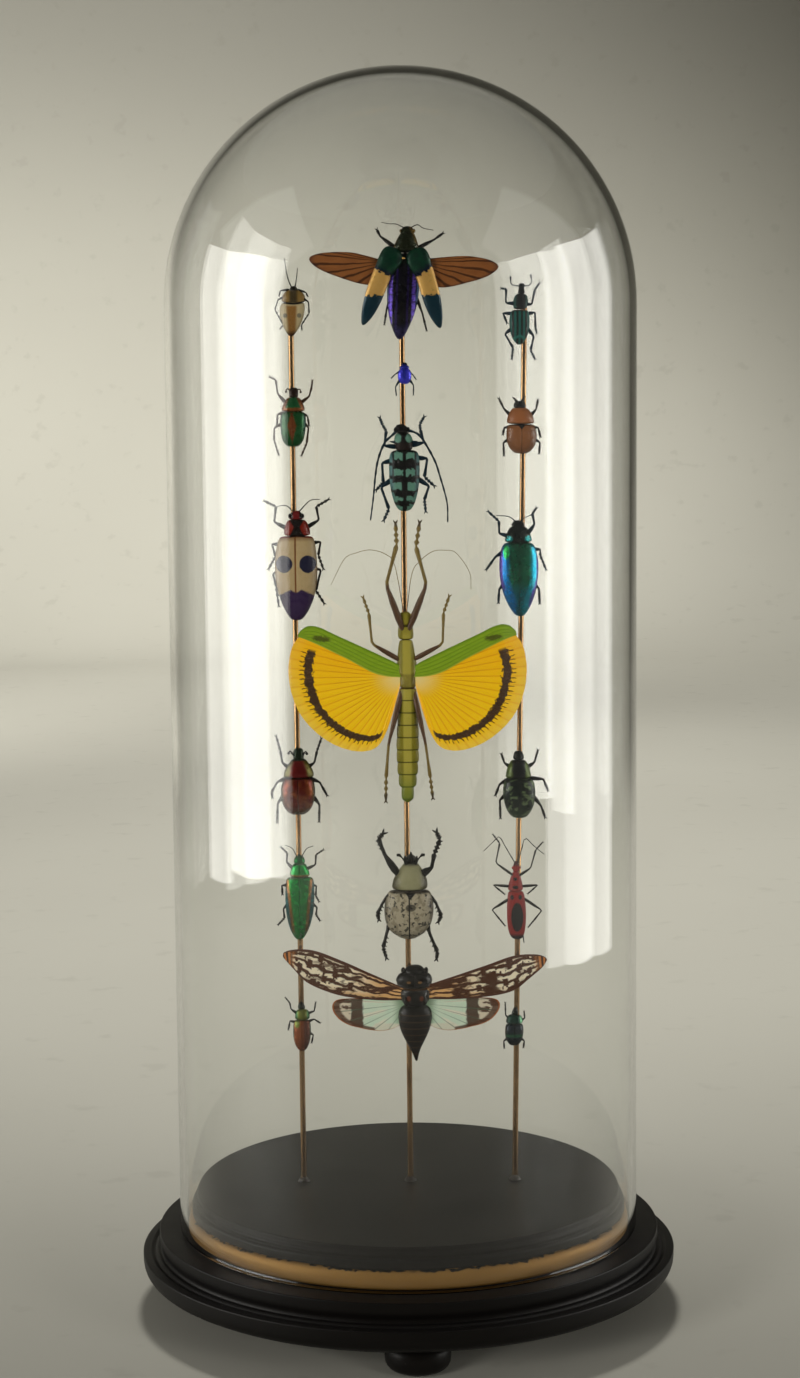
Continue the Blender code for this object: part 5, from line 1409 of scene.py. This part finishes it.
bodies = [
    lofted(
        [
            (14.2, 0.3, 5.6, 4.6), (13.4, 0.3, 7.4, 6.3), (8.0, 0.0, 8.4, 7.4), (0.0, 0.0, 8.9, 7.4),
            (-7.0, 0.2, 8.2, 6.9), (-13.0, 0.2, 6.5, 5.2), (-17.4, 0.1, 4.2, 3.8), (-19.6, 0.0, 2.6, 2.4),
            (-20.3, 0.0, 1.4, 1.4),
        ],
        suture=0.16, sides=24,
    ),
    lofted(
        [
            (14.0, 0.6, 4.8, 5.2), (15.0, 0.6, 5.6, 6.3), (17.5, 0.55, 5.2, 5.8), (19.8, 0.5, 4.2, 5.0),
            (20.9, 0.4, 3.2, 4.0),
        ],
        suture=0.2,
    ),
    lofted([(20.4, 0.3, 2.7, 3.8), (21.8, 0.3, 2.8, 4.0), (23.4, 0.3, 2.2, 3.2), (24.4, 0.3, 1.3, 2.0)]),
]
bodies += [lofted(knob(0.3 + side * 2.5, 22.1, 0.9, 1.2, 2.6), rest=2.4, sides=12) for side in (-1, 1)]
lines = legs(
    [(-2.4, 16.6), (-8.6, 19.9), (-7.8, 26.1), (-12.6, 28.3)],
    [(3.0, 16.6), (9.5, 20.5), (8.5, 25.9), (13.5, 28.7)],
    [(-4.4, 10.6), (-9.6, 10.9), (-8.3, 5.9), (-11.2, 0.8)],
    [(4.4, 11.0), (10.1, 11.7), (9.1, 6.4), (11.0, 0.6)],
    [(-4.6, 1.0), (-9.4, -1.2), (-8.2, -6.0), (-7.3, -14.3)],
    [(4.6, 1.2), (10.1, 0.3), (7.9, -8.0), (11.2, -13.5)], thick=0.52,
)
lines += feeler([(-0.6, 23.6), (-3.6, 26.4), (-7.4, 26.1)], 0.26)
lines += feeler([(1.2, 23.6), (4.4, 27.0), (6.6, 28.6), (9.9, 28.8)], 0.26)
mounted(NODE, PLACE, blotted, bodies, black_limb, lines)

# ---------------------------------------------------------------------------------------------------
# Red-brown chafer, below the stick insect's wing on the left rod. Dark cherry wing cases with an orange
# and green shimmer, a red collar gilded at its sides, and clubbed feelers.
PLACE, NODE = (-43.6, 217.6), "red_brown_chafer"
cherry = Finish("cherry_shell", PLACE, Metallic=0.5, Coat_Weight=0.28, Coat_Roughness=0.1)
u, v = cherry.u, cherry.v
patchy = cherry.noise(1.8, detail=4.0)
collar = cherry.ease(v, 2.8, 3.1)
gilded = cherry.ease(abs(u - 0.4) + (v - 3.0) * 0.25 + (patchy - 0.5) * 1.4, 3.2, 4.6)
colour = cherry.paint(
    tint(118, 26, 20), (patchy * 0.8, tint(88, 16, 14)),
    (cherry.ease(cherry.noise(3.0), 0.42, 0.62) * 0.7, tint(140, 74, 26)),
    (cherry.ease(abs(u), 5.0, 7.0) * 0.85, tint(66, 70, 26)),
    (cherry.ease(v, -8.0, -12.0) * 0.6, tint(58, 44, 22)),
    (cherry.ease(abs(u - 0.1), 0.22, 0.08), tint(26, 10, 10)), (collar, tint(112, 22, 20)),
    (collar * gilded, tint(98, 92, 34)), (cherry.ease(v, 9.4, 9.9), tint(28, 42, 26)),
    (cherry.within(v, 2.2, 3.0, 0.2) * 0.8, tint(24, 18, 14)),
)
shell(cherry, colour, shine=0.18, pits=0.35, pit_size=0.4, ridges=0.08, ridge_gap=1.6)
bodies = [
    lofted(
        [
            (2.9, 0.2, 4.6, 5.2), (2.0, 0.2, 6.3, 7.0), (-2.0, 0.0, 7.3, 8.0), (-7.0, -0.1, 7.0, 7.4),
            (-10.8, -0.1, 5.4, 5.8), (-12.6, -0.1, 3.2, 3.6), (-13.0, -0.1, 2.0, 2.2),
        ],
        suture=0.16, sides=24,
    ),
    lofted(
        [
            (2.4, 0.3, 5.8, 6.0), (3.4, 0.4, 6.6, 7.1), (6.5, 0.4, 5.6, 6.2), (9.2, 0.4, 3.6, 5.0),
            (10.6, 0.4, 2.4, 3.8),
        ]
    ),
    lofted([(9.4, 0.3, 2.2, 3.4), (11.4, 0.3, 2.3, 3.4), (13.6, 0.3, 2.1, 2.9), (14.7, 0.3, 1.4, 1.8)]),
]
lines = legs(
    [(-3.0, 6.0), (-6.3, 8.7), (-7.0, 13.4), (-8.7, 19.4)],
    [(3.0, 6.0), (6.8, 8.6), (7.9, 13.2), (9.7, 18.4)],
    [(-3.8, 2.6), (-8.4, 0.8), (-10.9, -3.4), (-10.7, -5.6)], [(3.8, 2.6), (8.9, 0.5), (11.7, -5.0)],
    [(-4.4, -3.0), (-8.4, -8.0), (-8.8, -15.9)], [(4.4, -3.0), (8.7, -8.8), (8.4, -15.7)], thick=0.5,
)
lines += feeler([(-1.4, 11.4), (-3.0, 13.4), (-3.8, 12.2)], 0.4, 3.2, 4, 1.0)
lines += feeler([(2.0, 11.4), (3.2, 13.2), (3.8, 12.0)], 0.4, 3.2, 4, 1.0)
mounted(NODE, PLACE, cherry, bodies, black_limb, lines)

# ---------------------------------------------------------------------------------------------------
# Emerald jewel beetle, fifth on the left rod. A narrow bright green beetle that tapers to a point, with
# a copper stripe down each wing case and a copper band across its collar.
PLACE, NODE = (-43.7, 171.1), "emerald_jewel_beetle"
emerald = Finish("emerald_shell", PLACE, Metallic=0.7, Coat_Weight=0.24, Coat_Roughness=0.12)
u, v = emerald.u, emerald.v
patchy = emerald.noise(1.2, detail=4.0)
stripes = emerald.ease(abs(abs(u - 0.15) - 3.6 - (v + 6.0) * 0.1 + (patchy - 0.5) * 0.6), 0.8, 0.4)
stripes = stripes * emerald.ease(v, 7.4, 6.8) * emerald.ease(v, -16.5, -14.0)
colour = emerald.paint(
    tint(6, 158, 62), (emerald.ease(emerald.noise(2.4), 0.3, 0.7), tint(3, 124, 56)),
    (emerald.ease(abs(u - 0.2) - v * 0.09, 3.9, 5.0), tint(8, 84, 86)), (stripes * 0.8, tint(148, 84, 40)),
    (emerald.ease(abs(u - 0.2), 0.2, 0.08) * 0.8, tint(4, 40, 26)),
    (emerald.within(v, 7.9, 8.9, 0.2) * 0.85, tint(170, 92, 48)),
    (emerald.ease(v, 12.8, 13.4) * 0.6, tint(14, 70, 44)),
)
shell(emerald, colour, shine=0.18, pits=0.6, pit_size=0.35, ridges=0.2, ridge_gap=0.9)
bodies = [
    lofted(
        [
            (7.9, 0.3, 4.6, 4.2), (7.0, 0.3, 5.9, 5.4), (2.0, 0.3, 6.1, 5.9), (-3.0, 0.2, 6.1, 5.6),
            (-8.0, 0.1, 5.7, 5.0), (-13.6, -0.1, 4.3, 3.6), (-17.2, -0.2, 2.5, 2.0),
            (-18.9, -0.2, 1.1, 1.0),
        ],
        suture=0.14,
    ),
    lofted(
        [
            (7.7, 0.3, 3.8, 4.4), (8.6, 0.3, 4.3, 5.0), (10.6, 0.25, 3.8, 4.8), (12.6, 0.2, 3.0, 4.2),
            (13.4, 0.2, 2.3, 3.4),
        ]
    ),
    lofted([(13.0, 0.2, 2.2, 3.2), (14.2, 0.2, 2.5, 3.3), (15.8, 0.2, 1.9, 2.4), (16.7, 0.2, 1.0, 1.3)]),
]
lines = legs(
    [(-1.8, 10.4), (-5.0, 14.1), (-4.7, 17.6), (-7.2, 19.9)],
    [(1.8, 10.4), (6.8, 12.8), (7.1, 16.9), (10.0, 18.7)], [(-3.0, 4.6), (-7.1, 4.2), (-7.0, 0.6)],
    [(3.0, 4.8), (7.1, 4.0), (6.7, -0.1), (8.0, -2.7)],
    [(-3.0, -1.6), (-6.6, -5.4), (-6.2, -9.3), (-8.8, -12.2)],
    [(3.0, -1.4), (7.2, -5.0), (6.8, -8.3), (8.2, -10.6)], thick=0.42,
)
lines += feeler([(-0.6, 15.8), (-2.6, 19.6), (-5.5, 20.8)], 0.22)
lines += feeler([(1.0, 15.8), (3.2, 19.4), (6.0, 20.4)], 0.22)
mounted(NODE, PLACE, emerald, bodies, black_limb, lines)

# ---------------------------------------------------------------------------------------------------
# Copper leaf beetle, lowest on the left rod. A small oval beetle of dark copper with green rims.
# Its right half is darkened as painted shade, and a green highlight is painted on its left shoulder.
PLACE, NODE = (-43.3, 114.9), "copper_leaf_beetle"
leaf = Finish("copper_green_shell", PLACE, Metallic=0.5, Coat_Weight=0.24, Coat_Roughness=0.12)
u, v = leaf.u, leaf.v
patchy = leaf.noise(1.0, detail=4.0)
collar = leaf.ease(v, 3.7, 4.1)
colour = leaf.paint(
    # painted shade darkens the right half; the green oval on the left shoulder below is a painted highlight
    tint(164, 86, 38), (patchy, tint(132, 66, 34)), (leaf.ease(u, 0.2, 1.4) * 0.75, tint(78, 48, 44)),
    (leaf.spot(u, v, (-1.9, 2.6), (1.1, 1.6), 0.5), tint(116, 128, 48)),
    (leaf.ease(abs(u), 2.9, 3.7), tint(30, 82, 50)), (leaf.ease(abs(u), 0.14, 0.05), tint(20, 14, 12)),
    (collar, tint(112, 116, 40)), (collar * leaf.ease(abs(u - 0.2), 1.5, 2.3), tint(40, 104, 56)),
    (leaf.ease(v, 8.4, 8.8), tint(24, 30, 24)),
)
shell(leaf, colour, shine=0.18, pits=0.6, pit_size=0.3, ridges=0.15, ridge_gap=0.7)
bodies = [
    lofted(
        [
            (4.1, 0.0, 2.6, 3.0), (3.4, 0.0, 3.6, 4.2), (0.0, 0.0, 3.8, 4.5), (-4.0, -0.1, 3.7, 4.4),
            (-7.6, -0.1, 2.6, 3.2), (-9.5, -0.1, 1.1, 1.7),
        ],
        suture=0.12,
    ),
    lofted([(4.0, 0.1, 2.8, 3.6), (5.0, 0.2, 3.3, 4.2), (7.4, 0.2, 2.9, 3.8), (8.5, 0.2, 1.9, 2.8)]),
    lofted([(8.2, -0.1, 1.6, 2.4), (9.4, -0.2, 1.6, 2.2), (10.6, -0.3, 1.1, 1.5), (11.2, -0.3, 0.6, 0.9)]),
]
lines = legs(
    [(-1.6, 6.4), (-4.5, 8.6), (-4.9, 11.0), (-6.6, 13.0)], [(1.6, 6.4), (5.1, 7.6), (5.7, 10.9)],
    [(-2.0, 2.8), (-4.9, 3.6), (-5.7, -0.2)], [(2.0, 3.0), (5.0, 4.2), (7.3, 2.5)],
    [(2.0, -1.0), (4.6, -2.4), (3.9, -5.8)], thick=0.34,
)
mounted(NODE, PLACE, leaf, bodies, black_limb, lines)

# ---------------------------------------------------------------------------------------------------
# Teal weevil, at the top of the right rod. A black, long-snouted beetle with teal scales in stripes
# down its wing cases and elbowed feelers on its snout.
PLACE, NODE = (48.2, 402.9), "teal_weevil"
weevil = Finish("teal_striped_shell", PLACE, Coat_Weight=0.1, Coat_Roughness=0.25)
u, v = weevil.u, weevil.v
scales = weevil.noise(0.5, detail=3.0)
stripes = weevil.ruled((u + 0.4) / 1.75 + 0.5, 0.3, 0.2)
crossing = weevil.within(v + abs(u + 0.4) * 0.5 + (scales - 0.5), -5.0, -3.9, 0.2)
lower = weevil.ease(v, 5.7, 5.2)
colour = weevil.paint(
    tint(8, 11, 11), (scales * 0.5, tint(18, 32, 30)), (stripes * lower * 0.9, tint(24, 106, 94)),
    (crossing * 0.85, tint(36, 128, 112)), (weevil.ease(abs(u + 0.3), 3.2, 4.0) * lower, tint(26, 96, 88)),
    (
        weevil.ease(v, 6.2, 6.8) * weevil.ease(abs(u - 0.2), 1.5, 2.4) * weevil.ease(v, 12.4, 11.4) * 0.8,
        tint(24, 92, 82),
    ),
    (weevil.within(v, 5.6, 6.3, 0.15) * 0.7, tint(96, 62, 34)),
)
shell(weevil, colour, shine=0.3, pits=0.8, pit_size=0.4, ridges=0.3, ridge_gap=1.75, depth=0.1)
bodies = [
    lofted(
        [
            (6.0, -0.2, 2.6, 3.6), (5.2, -0.2, 4.0, 5.0), (0.0, -0.4, 4.3, 5.6), (-4.0, -0.4, 3.6, 4.8),
            (-6.6, -0.4, 2.2, 3.0), (-8.0, -0.4, 0.9, 1.5),
        ],
        suture=0.14,
    ),
    lofted(
        [
            (6.0, -0.1, 2.3, 4.0), (7.0, 0.0, 2.9, 4.4), (9.5, 0.2, 3.2, 4.4), (11.6, 0.3, 2.5, 3.6),
            (12.4, 0.4, 1.8, 3.0),
        ],
        suture=0.18,
    ),
    lofted(
        [
            (12.2, 0.4, 1.7, 2.6), (13.4, 0.6, 1.3, 2.3), (14.8, 0.6, 1.0, 1.8), (16.0, 0.7, 1.3, 1.7),
            (16.6, 0.7, 0.8, 1.0),
        ]
    ),
]
lines = legs(
    [(-1.4, 8.4), (-5.8, 8.7), (-5.6, 14.2), (-7.3, 14.5)],
    [(1.8, 8.2), (4.6, 8.0), (5.9, 13.9), (7.7, 16.4)], [(-2.0, 4.4), (-6.9, 4.6), (-5.4, 0.9)],
    [(1.8, 4.2), (5.9, 4.8), (6.1, -1.1), (6.6, -3.1)],
    [(-2.4, -0.6), (-6.2, -3.7), (-3.0, -9.1), (-3.4, -13.4)],
    [(2.0, -0.6), (5.4, -4.6), (4.1, -10.2), (5.8, -13.5)], thick=0.46,
)
lines += feeler([(0.2, 15.4), (-2.4, 15.6), (-3.7, 16.6), (-3.8, 19.2)], 0.27, 2.8, 6, 0.9)
lines += feeler([(1.2, 15.4), (3.4, 15.6), (4.5, 17.0), (4.3, 19.9)], 0.27, 2.8, 6, 0.9)
mounted(NODE, PLACE, weevil, bodies, blue_limb, lines)

# ---------------------------------------------------------------------------------------------------
# Chestnut scarab, second on the right rod. Polished orange-brown collar and wing cases, and a black head
# with two short curved horns.
PLACE, NODE = (48.3, 361.2), "chestnut_scarab"
chestnut = Finish("chestnut_shell", PLACE, Coat_Weight=0.28, Coat_Roughness=0.1)
u, v = chestnut.u, chestnut.v
patchy = chestnut.noise(1.5, detail=5.0)
colour = chestnut.paint(
    tint(168, 108, 62), (patchy, tint(138, 86, 48)),
    (chestnut.ease(abs(u), 5.2, 6.8) * 0.5, tint(92, 54, 30)),
    (chestnut.ease(abs(u - 0.1), 0.2, 0.08) * 0.7, tint(52, 30, 18)),
    (chestnut.ease(v, 2.2, 2.5), tint(178, 108, 58)),
    (chestnut.within(v - abs(u) * 0.04, 1.3, 2.1, 0.2), tint(24, 16, 12)),
    (
        chestnut.ease(abs(u - 0.1) - (v - 0.2) * 0.8, 0.5, 0.2) * chestnut.within(v, -0.4, 1.6),
        tint(20, 14, 12),
    ),
    (chestnut.ease(v, 8.2, 8.7), tint(18, 15, 14)),
)
shell(chestnut, colour, shine=0.16, pits=0.45, pit_size=0.4, ridges=0.12, ridge_gap=1.1)
bodies = [
    lofted(
        [
            (2.0, 0.0, 4.4, 5.0), (1.4, 0.0, 5.8, 6.6), (-3.0, 0.2, 6.5, 7.2), (-7.0, 0.2, 5.6, 6.2),
            (-9.2, 0.2, 3.6, 4.0), (-10.0, 0.2, 2.0, 2.4),
        ],
        suture=0.12, sides=24,
    ),
    lofted(
        [
            (1.9, -0.1, 5.0, 5.6), (2.8, -0.2, 5.9, 6.7), (6.0, -0.3, 5.0, 6.0), (8.0, -0.3, 3.5, 4.8),
            (8.8, -0.4, 2.4, 3.4),
        ]
    ),
    lofted([(8.4, -0.4, 2.7, 3.2), (9.6, -0.5, 2.6, 3.0), (10.8, -0.5, 2.0, 2.0), (11.3, -0.5, 1.2, 1.2)]),
]
lines = [[(-1.4, 9.8, 4.4, 0.7), (-1.9, 11.2, 4.8, 0.55), (-2.8, 12.3, 4.9, 0.35), (-3.6, 12.8, 4.8, 0.12)],
         [(0.4, 9.8, 4.4, 0.7), (0.4, 11.3, 4.8, 0.55), (1.1, 12.6, 4.9, 0.35), (2.1, 13.2, 4.8, 0.12)]]
lines += legs(
    [(-2.6, 4.0), (-6.9, 8.2), (-8.7, 12.1)], [(2.6, 4.0), (6.1, 7.8), (6.9, 11.4)],
    [(-3.0, 1.0), (-6.7, 0.6), (-7.2, -1.8)], [(3.2, 1.0), (7.0, 0.4), (7.8, -3.0)],
    [(-3.4, -3.2), (-7.1, -5.4), (-6.9, -10.4)], [(3.6, -3.2), (7.6, -5.4), (7.4, -9.6)], thick=0.45,
)
mounted(NODE, PLACE, chestnut, bodies, black_limb, lines)

# ---------------------------------------------------------------------------------------------------
# Blue jewel beetle, third on the right rod. Dark green wing cases that turn to teal towards the tail,
# with a painted sheen, violet and blue on one side and turquoise on the other, and a painted highlight.
PLACE, NODE = (47.0, 304.2), "blue_jewel_beetle"
gem = Finish("blue_green_shell", PLACE, Metallic=0.75, Coat_Weight=0.28, Coat_Roughness=0.1)
u, v = gem.u, gem.v
patchy = gem.noise(1.4, detail=4.0)
wide = u + (patchy - 0.5) * 0.8 + gem.ease(v, -2.0, -14.0) * gem.math("SIGN", u) * 3.2
colour = gem.paint(
    tint(4, 112, 76), (gem.ease(patchy, 0.42, 0.62) * 0.8, tint(2, 76, 58)),
    (gem.ease(v + patchy * 3.0, -2.0, -9.0) * 0.85, tint(4, 112, 128)),
    # painted sheen on the left side: blue
    (gem.ease(wide, -3.2, -5.0), tint(6, 120, 190)),
    # painted highlight: a bright green oval on the left shoulder
    (gem.spot(u, v, (-5.0, 7.6), (1.2, 3.0), 0.5), tint(30, 170, 80)),
    (gem.ease(wide, -6.2, -6.9) * gem.ease(v, -9.0, -6.0), tint(98, 72, 168)),
    # painted sheen on the right side: turquoise and bright cyan
    (gem.ease(wide, 4.2, 5.6), tint(10, 140, 160)),
    (gem.ease(wide, 5.2, 6.4) * gem.within(v, -3.2, 10.2, 1.0) * patchy, tint(20, 176, 214)),
    (gem.ease(wide, 7.0, 7.5), tint(70, 66, 140)), (gem.ease(abs(u - 0.2), 0.22, 0.08), tint(4, 18, 14)),
    (gem.ease(v, 11.2, 11.6), tint(14, 30, 24)),
    (gem.spot(abs(u), v, (4.3, 12.8), (1.8, 1.3), 0.6) * 0.9, tint(20, 130, 130)),
    (gem.ease(v, 17.4, 18.0), tint(12, 22, 18)),
)
shell(gem, colour, shine=0.18, pits=0.6, pit_size=0.45, ridges=0.25, ridge_gap=1.3, depth=0.1)
bodies = [
    lofted(
        [
            (11.5, 0.0, 4.6, 5.4), (10.6, 0.0, 6.7, 6.8), (5.0, 0.1, 8.2, 7.8), (-3.0, 0.2, 8.0, 7.2),
            (-9.0, 0.3, 6.9, 6.2), (-14.2, 0.5, 4.8, 4.4), (-17.4, 0.6, 2.8, 2.8), (-18.9, 0.7, 1.4, 1.5),
        ],
        suture=0.16, sides=24,
    ),
    lofted(
        [
            (11.2, 0.0, 5.0, 6.0), (12.0, 0.0, 5.9, 6.9), (15.0, 0.0, 4.9, 6.3), (17.2, 0.0, 3.6, 5.0),
            (18.0, 0.0, 2.7, 4.0),
        ]
    ),
    lofted([(17.6, 0.0, 2.7, 4.0), (18.6, 0.0, 2.9, 3.8), (19.6, 0.0, 2.1, 3.0), (20.3, 0.0, 1.1, 1.7)]),
]
lines = legs(
    [(-3.0, 13.6), (-7.7, 15.0), (-7.8, 19.9), (-12.0, 23.8)],
    [(3.0, 13.6), (6.6, 18.6), (5.8, 22.8), (7.3, 24.9)], [(-4.4, 8.6), (-9.3, 5.5), (-12.8, 0.5)],
    [(4.4, 8.4), (8.9, 8.4), (8.9, 6.0), (11.3, 0.2)], [(-4.4, -4.0), (-7.8, -7.7), (-8.1, -12.9)],
    [(4.4, -4.0), (8.3, -7.4), (8.7, -13.4)], thick=0.52,
)
lines += feeler([(-0.8, 19.4), (-3.0, 21.4), (-5.1, 22.0), (-8.8, 22.2)], 0.26)
lines += feeler([(0.8, 19.4), (2.6, 21.2), (5.3, 22.3)], 0.26)
mounted(NODE, PLACE, gem, bodies, blue_limb, lines)

# ---------------------------------------------------------------------------------------------------
# Mottled green chafer, below the stick insect's wing on the right rod. Black-green wing cases flecked
# across with pale scales, and a black collar with yellow-green margins.
PLACE, NODE = (47.0, 216.4), "mottled_green_chafer"
flecked = Finish("flecked_green_shell", PLACE, Metallic=0.2, Coat_Weight=0.18, Coat_Roughness=0.15)
u, v = flecked.u, flecked.v
flecks = flecked.ease(flecked.noise(1.5, (2.4, 1.0, 1.0), 3.0), 0.53, 0.58) * flecked.ease(abs(u), 0.4, 1.2)
patchy = flecked.noise(2.2, detail=4.0)
collar = flecked.ease(v, 2.6, 3.0)
colour = flecked.paint(
    tint(6, 14, 9), (patchy, tint(12, 28, 15)), (flecked.ease(v, -8.0, -13.0) * 0.6, tint(36, 70, 26)),
    (flecked.ease(abs(u), 5.4, 6.8) * 0.7, tint(34, 60, 26)), (flecks * 0.8, tint(112, 132, 88)),
    (collar, tint(80, 98, 28)),
    (collar * flecked.ease(abs(u + 0.3) + (patchy - 0.5) * 1.6, 3.2, 2.2), tint(14, 16, 14)),
    (flecked.ease(v, 10.0, 10.5), tint(20, 24, 18)),
)
shell(flecked, colour, shine=0.22, pits=0.6, pit_size=0.4, ridges=0.12, ridge_gap=1.5)
bodies = [
    lofted(
        [
            (2.9, -0.2, 4.6, 5.4), (2.0, -0.2, 6.2, 7.0), (-3.0, 0.0, 7.0, 7.8), (-9.0, 0.0, 6.1, 6.8),
            (-12.4, 0.0, 4.2, 4.6), (-14.1, 0.0, 2.4, 2.8),
        ],
        suture=0.16, sides=24,
    ),
    lofted(
        [
            (2.4, -0.3, 5.0, 6.2), (3.6, -0.4, 5.5, 7.1), (7.0, -0.35, 4.7, 6.0), (9.4, -0.3, 3.6, 5.0),
            (10.3, -0.3, 2.5, 3.8),
        ]
    ),
    lofted(
        [(10.0, -0.2, 2.3, 3.6), (11.4, -0.2, 2.3, 3.4), (13.0, -0.2, 1.9, 2.6), (13.9, -0.2, 1.2, 1.5)]
    ),
]
lines = legs(
    [(-2.8, 6.6), (-6.0, 8.9), (-7.1, 12.2)], [(2.6, 6.6), (6.3, 9.1), (7.7, 13.7)],
    [(-3.6, 2.6), (-8.0, 0.2), (-9.6, -4.3)], [(3.4, 2.8), (9.9, 2.1), (11.8, -2.6)],
    [(-4.2, -3.0), (-8.0, -6.4), (-7.7, -13.8)], [(4.2, -3.0), (8.9, -8.9), (10.6, -13.7)], thick=0.5,
)
mounted(NODE, PLACE, flecked, bodies, black_limb, lines)

# ---------------------------------------------------------------------------------------------------
# Red cotton bug, fifth on the right rod. A slim red bug with black spots and a black lens on its folded
# wings, on long thin legs.
PLACE, NODE = (45.7, 169.8), "red_cotton_bug"
scarlet = Finish("spotted_red_shell", PLACE, Coat_Weight=0.06, Coat_Roughness=0.25)
u, v = scarlet.u, scarlet.v
patchy = scarlet.noise(1.1, detail=4.0)
lens = scarlet.spot(u + (patchy - 0.5) * 0.6, v, (0.2, -8.4), (2.5, 6.2), 0.15)
spots = scarlet.either(
    scarlet.spot(u, v, (-0.5, 7.5), (0.8, 0.7), 0.3), scarlet.spot(u, v, (-0.5, 4.2), (1.2, 0.7), 0.3),
    scarlet.spot(abs(u + 0.25), v, (1.65, 0.0), (0.75, 1.0), 0.3),
)
colour = scarlet.paint(
    tint(168, 34, 28), (patchy * 0.8, tint(128, 24, 22)),
    (scarlet.ease(abs(u), 2.9, 3.9) * 0.6, tint(186, 58, 42)),
    (scarlet.either(lens, spots), tint(18, 13, 14)), (scarlet.ease(v, -15.0, -17.0), tint(26, 18, 18)),
    (scarlet.ease(v, 12.2, 13.2) * 0.8, tint(40, 18, 18)),
)
shell(scarlet, colour, shine=0.32, pits=0.5, pit_size=0.3)
bodies = [
    lofted(
        [
            (2.4, -0.3, 2.6, 3.4), (1.6, -0.2, 3.6, 4.2), (-6.0, 0.0, 4.1, 4.2), (-12.0, 0.0, 3.9, 3.4),
            (-15.6, 0.1, 3.3, 2.4), (-18.3, 0.4, 2.0, 1.3),
        ],
        suture=0.08,
    ),
    lofted(
        [
            (2.2, -0.4, 2.9, 3.8), (3.4, -0.4, 3.3, 4.2), (6.5, -0.3, 2.6, 3.4), (9.6, -0.2, 1.6, 2.6),
            (10.4, -0.2, 1.1, 2.0),
        ]
    ),
    lofted([(10.0, -0.1, 1.2, 2.1), (11.6, 0.0, 1.6, 2.2), (13.2, 0.0, 1.2, 1.8), (14.7, 0.0, 0.6, 1.0)]),
]
bodies += [lofted(knob(side * 1.5, 11.8, 0.5, 0.6, 1.4), rest=1.9, sides=10) for side in (-1, 1)]
lines = [[(2.2, -15.4, 2.4, 0.3), (2.7, -16.8, 2.4, 0.3), (3.1, -19.6, 2.3, 0.2)]]
lines += legs(
    [(-0.8, 8.4), (-8.5, 14.3), (-6.8, 22.3), (-9.5, 25.7)],
    [(0.6, 8.4), (5.8, 11.9), (8.0, 19.4), (10.8, 22.2)], [(-1.6, 4.2), (-9.6, 5.0), (-4.9, 0.9)],
    [(1.4, 4.2), (8.8, 4.8), (4.9, 1.1)], [(-1.8, -0.2), (-10.2, -5.2), (-4.8, -12.3)],
    [(1.8, 0.0), (10.4, -5.7), (5.0, -12.9)], thick=0.34,
)
lines += feeler([(-0.5, 13.8), (-4.6, 21.0), (-7.0, 24.9), (-9.6, 22.6), (-13.4, 18.8)], 0.24, 2.6, 5)
lines += feeler([(0.5, 13.8), (2.2, 19.6), (3.7, 24.2), (7.0, 21.2), (11.6, 17.2)], 0.24, 2.6, 5)
mounted(NODE, PLACE, scarlet, bodies, black_limb, lines)

# ---------------------------------------------------------------------------------------------------
# Dark green beetle, lowest on the right rod. A small oval beetle, dark green with a violet cast, and a
# painted mint highlight along the right margin of its collar.
PLACE, NODE = (44.6, 114.1), "dark_green_beetle"
dusky = Finish("dusky_green_shell", PLACE, Metallic=0.4, Coat_Weight=0.24, Coat_Roughness=0.12)
u, v = dusky.u, dusky.v
patchy = dusky.noise(1.0, detail=4.0)
colour = dusky.paint(
    tint(12, 44, 34), (patchy, tint(38, 30, 56)),
    (dusky.within(v, -3.0, -1.8, 0.4) * 0.7, tint(34, 104, 62)),
    (dusky.ease(abs(u), 3.2, 3.9) * 0.8, tint(82, 58, 36)),
    (dusky.ease(abs(u), 0.15, 0.05), tint(6, 12, 12)), (dusky.ease(v, 2.1, 2.5), tint(14, 52, 42)),
    # painted highlight: mint along the right edge of the collar
    (dusky.ease(v, 2.2, 2.8) * dusky.ease(u, 1.8, 2.8), tint(110, 176, 130)),
    (dusky.ease(v, 5.8, 6.4), tint(18, 24, 20)),
)
shell(dusky, colour, shine=0.18, pits=0.6, pit_size=0.3, ridges=0.15, ridge_gap=0.8)
bodies = [
    lofted(
        [
            (2.4, 0.0, 3.0, 3.4), (1.8, 0.0, 3.9, 4.6), (-3.0, -0.1, 4.0, 4.6), (-5.8, -0.1, 2.8, 3.2),
            (-7.2, -0.1, 1.4, 1.7),
        ],
        suture=0.12,
    ),
    lofted([(2.3, 0.0, 3.1, 4.0), (3.2, 0.0, 3.8, 4.4), (5.4, 0.1, 3.0, 3.4), (6.2, 0.1, 2.1, 2.6)]),
    lofted([(5.8, 0.3, 1.7, 2.4), (7.2, 0.4, 1.4, 2.0), (8.6, 0.6, 0.9, 1.4), (9.1, 0.6, 0.5, 0.9)]),
]
lines = legs(
    [(-1.4, 4.0), (-3.6, 5.9), (-3.7, 10.8)], [(1.6, 3.0), (4.3, 4.6), (4.1, 7.0)],
    [(-1.8, -3.0), (-4.4, -5.0), (-4.2, -8.0)], [(1.6, -3.0), (4.1, -5.0), (3.8, -7.8)], thick=0.34,
)
mounted(NODE, PLACE, dusky, bodies, black_limb, lines)
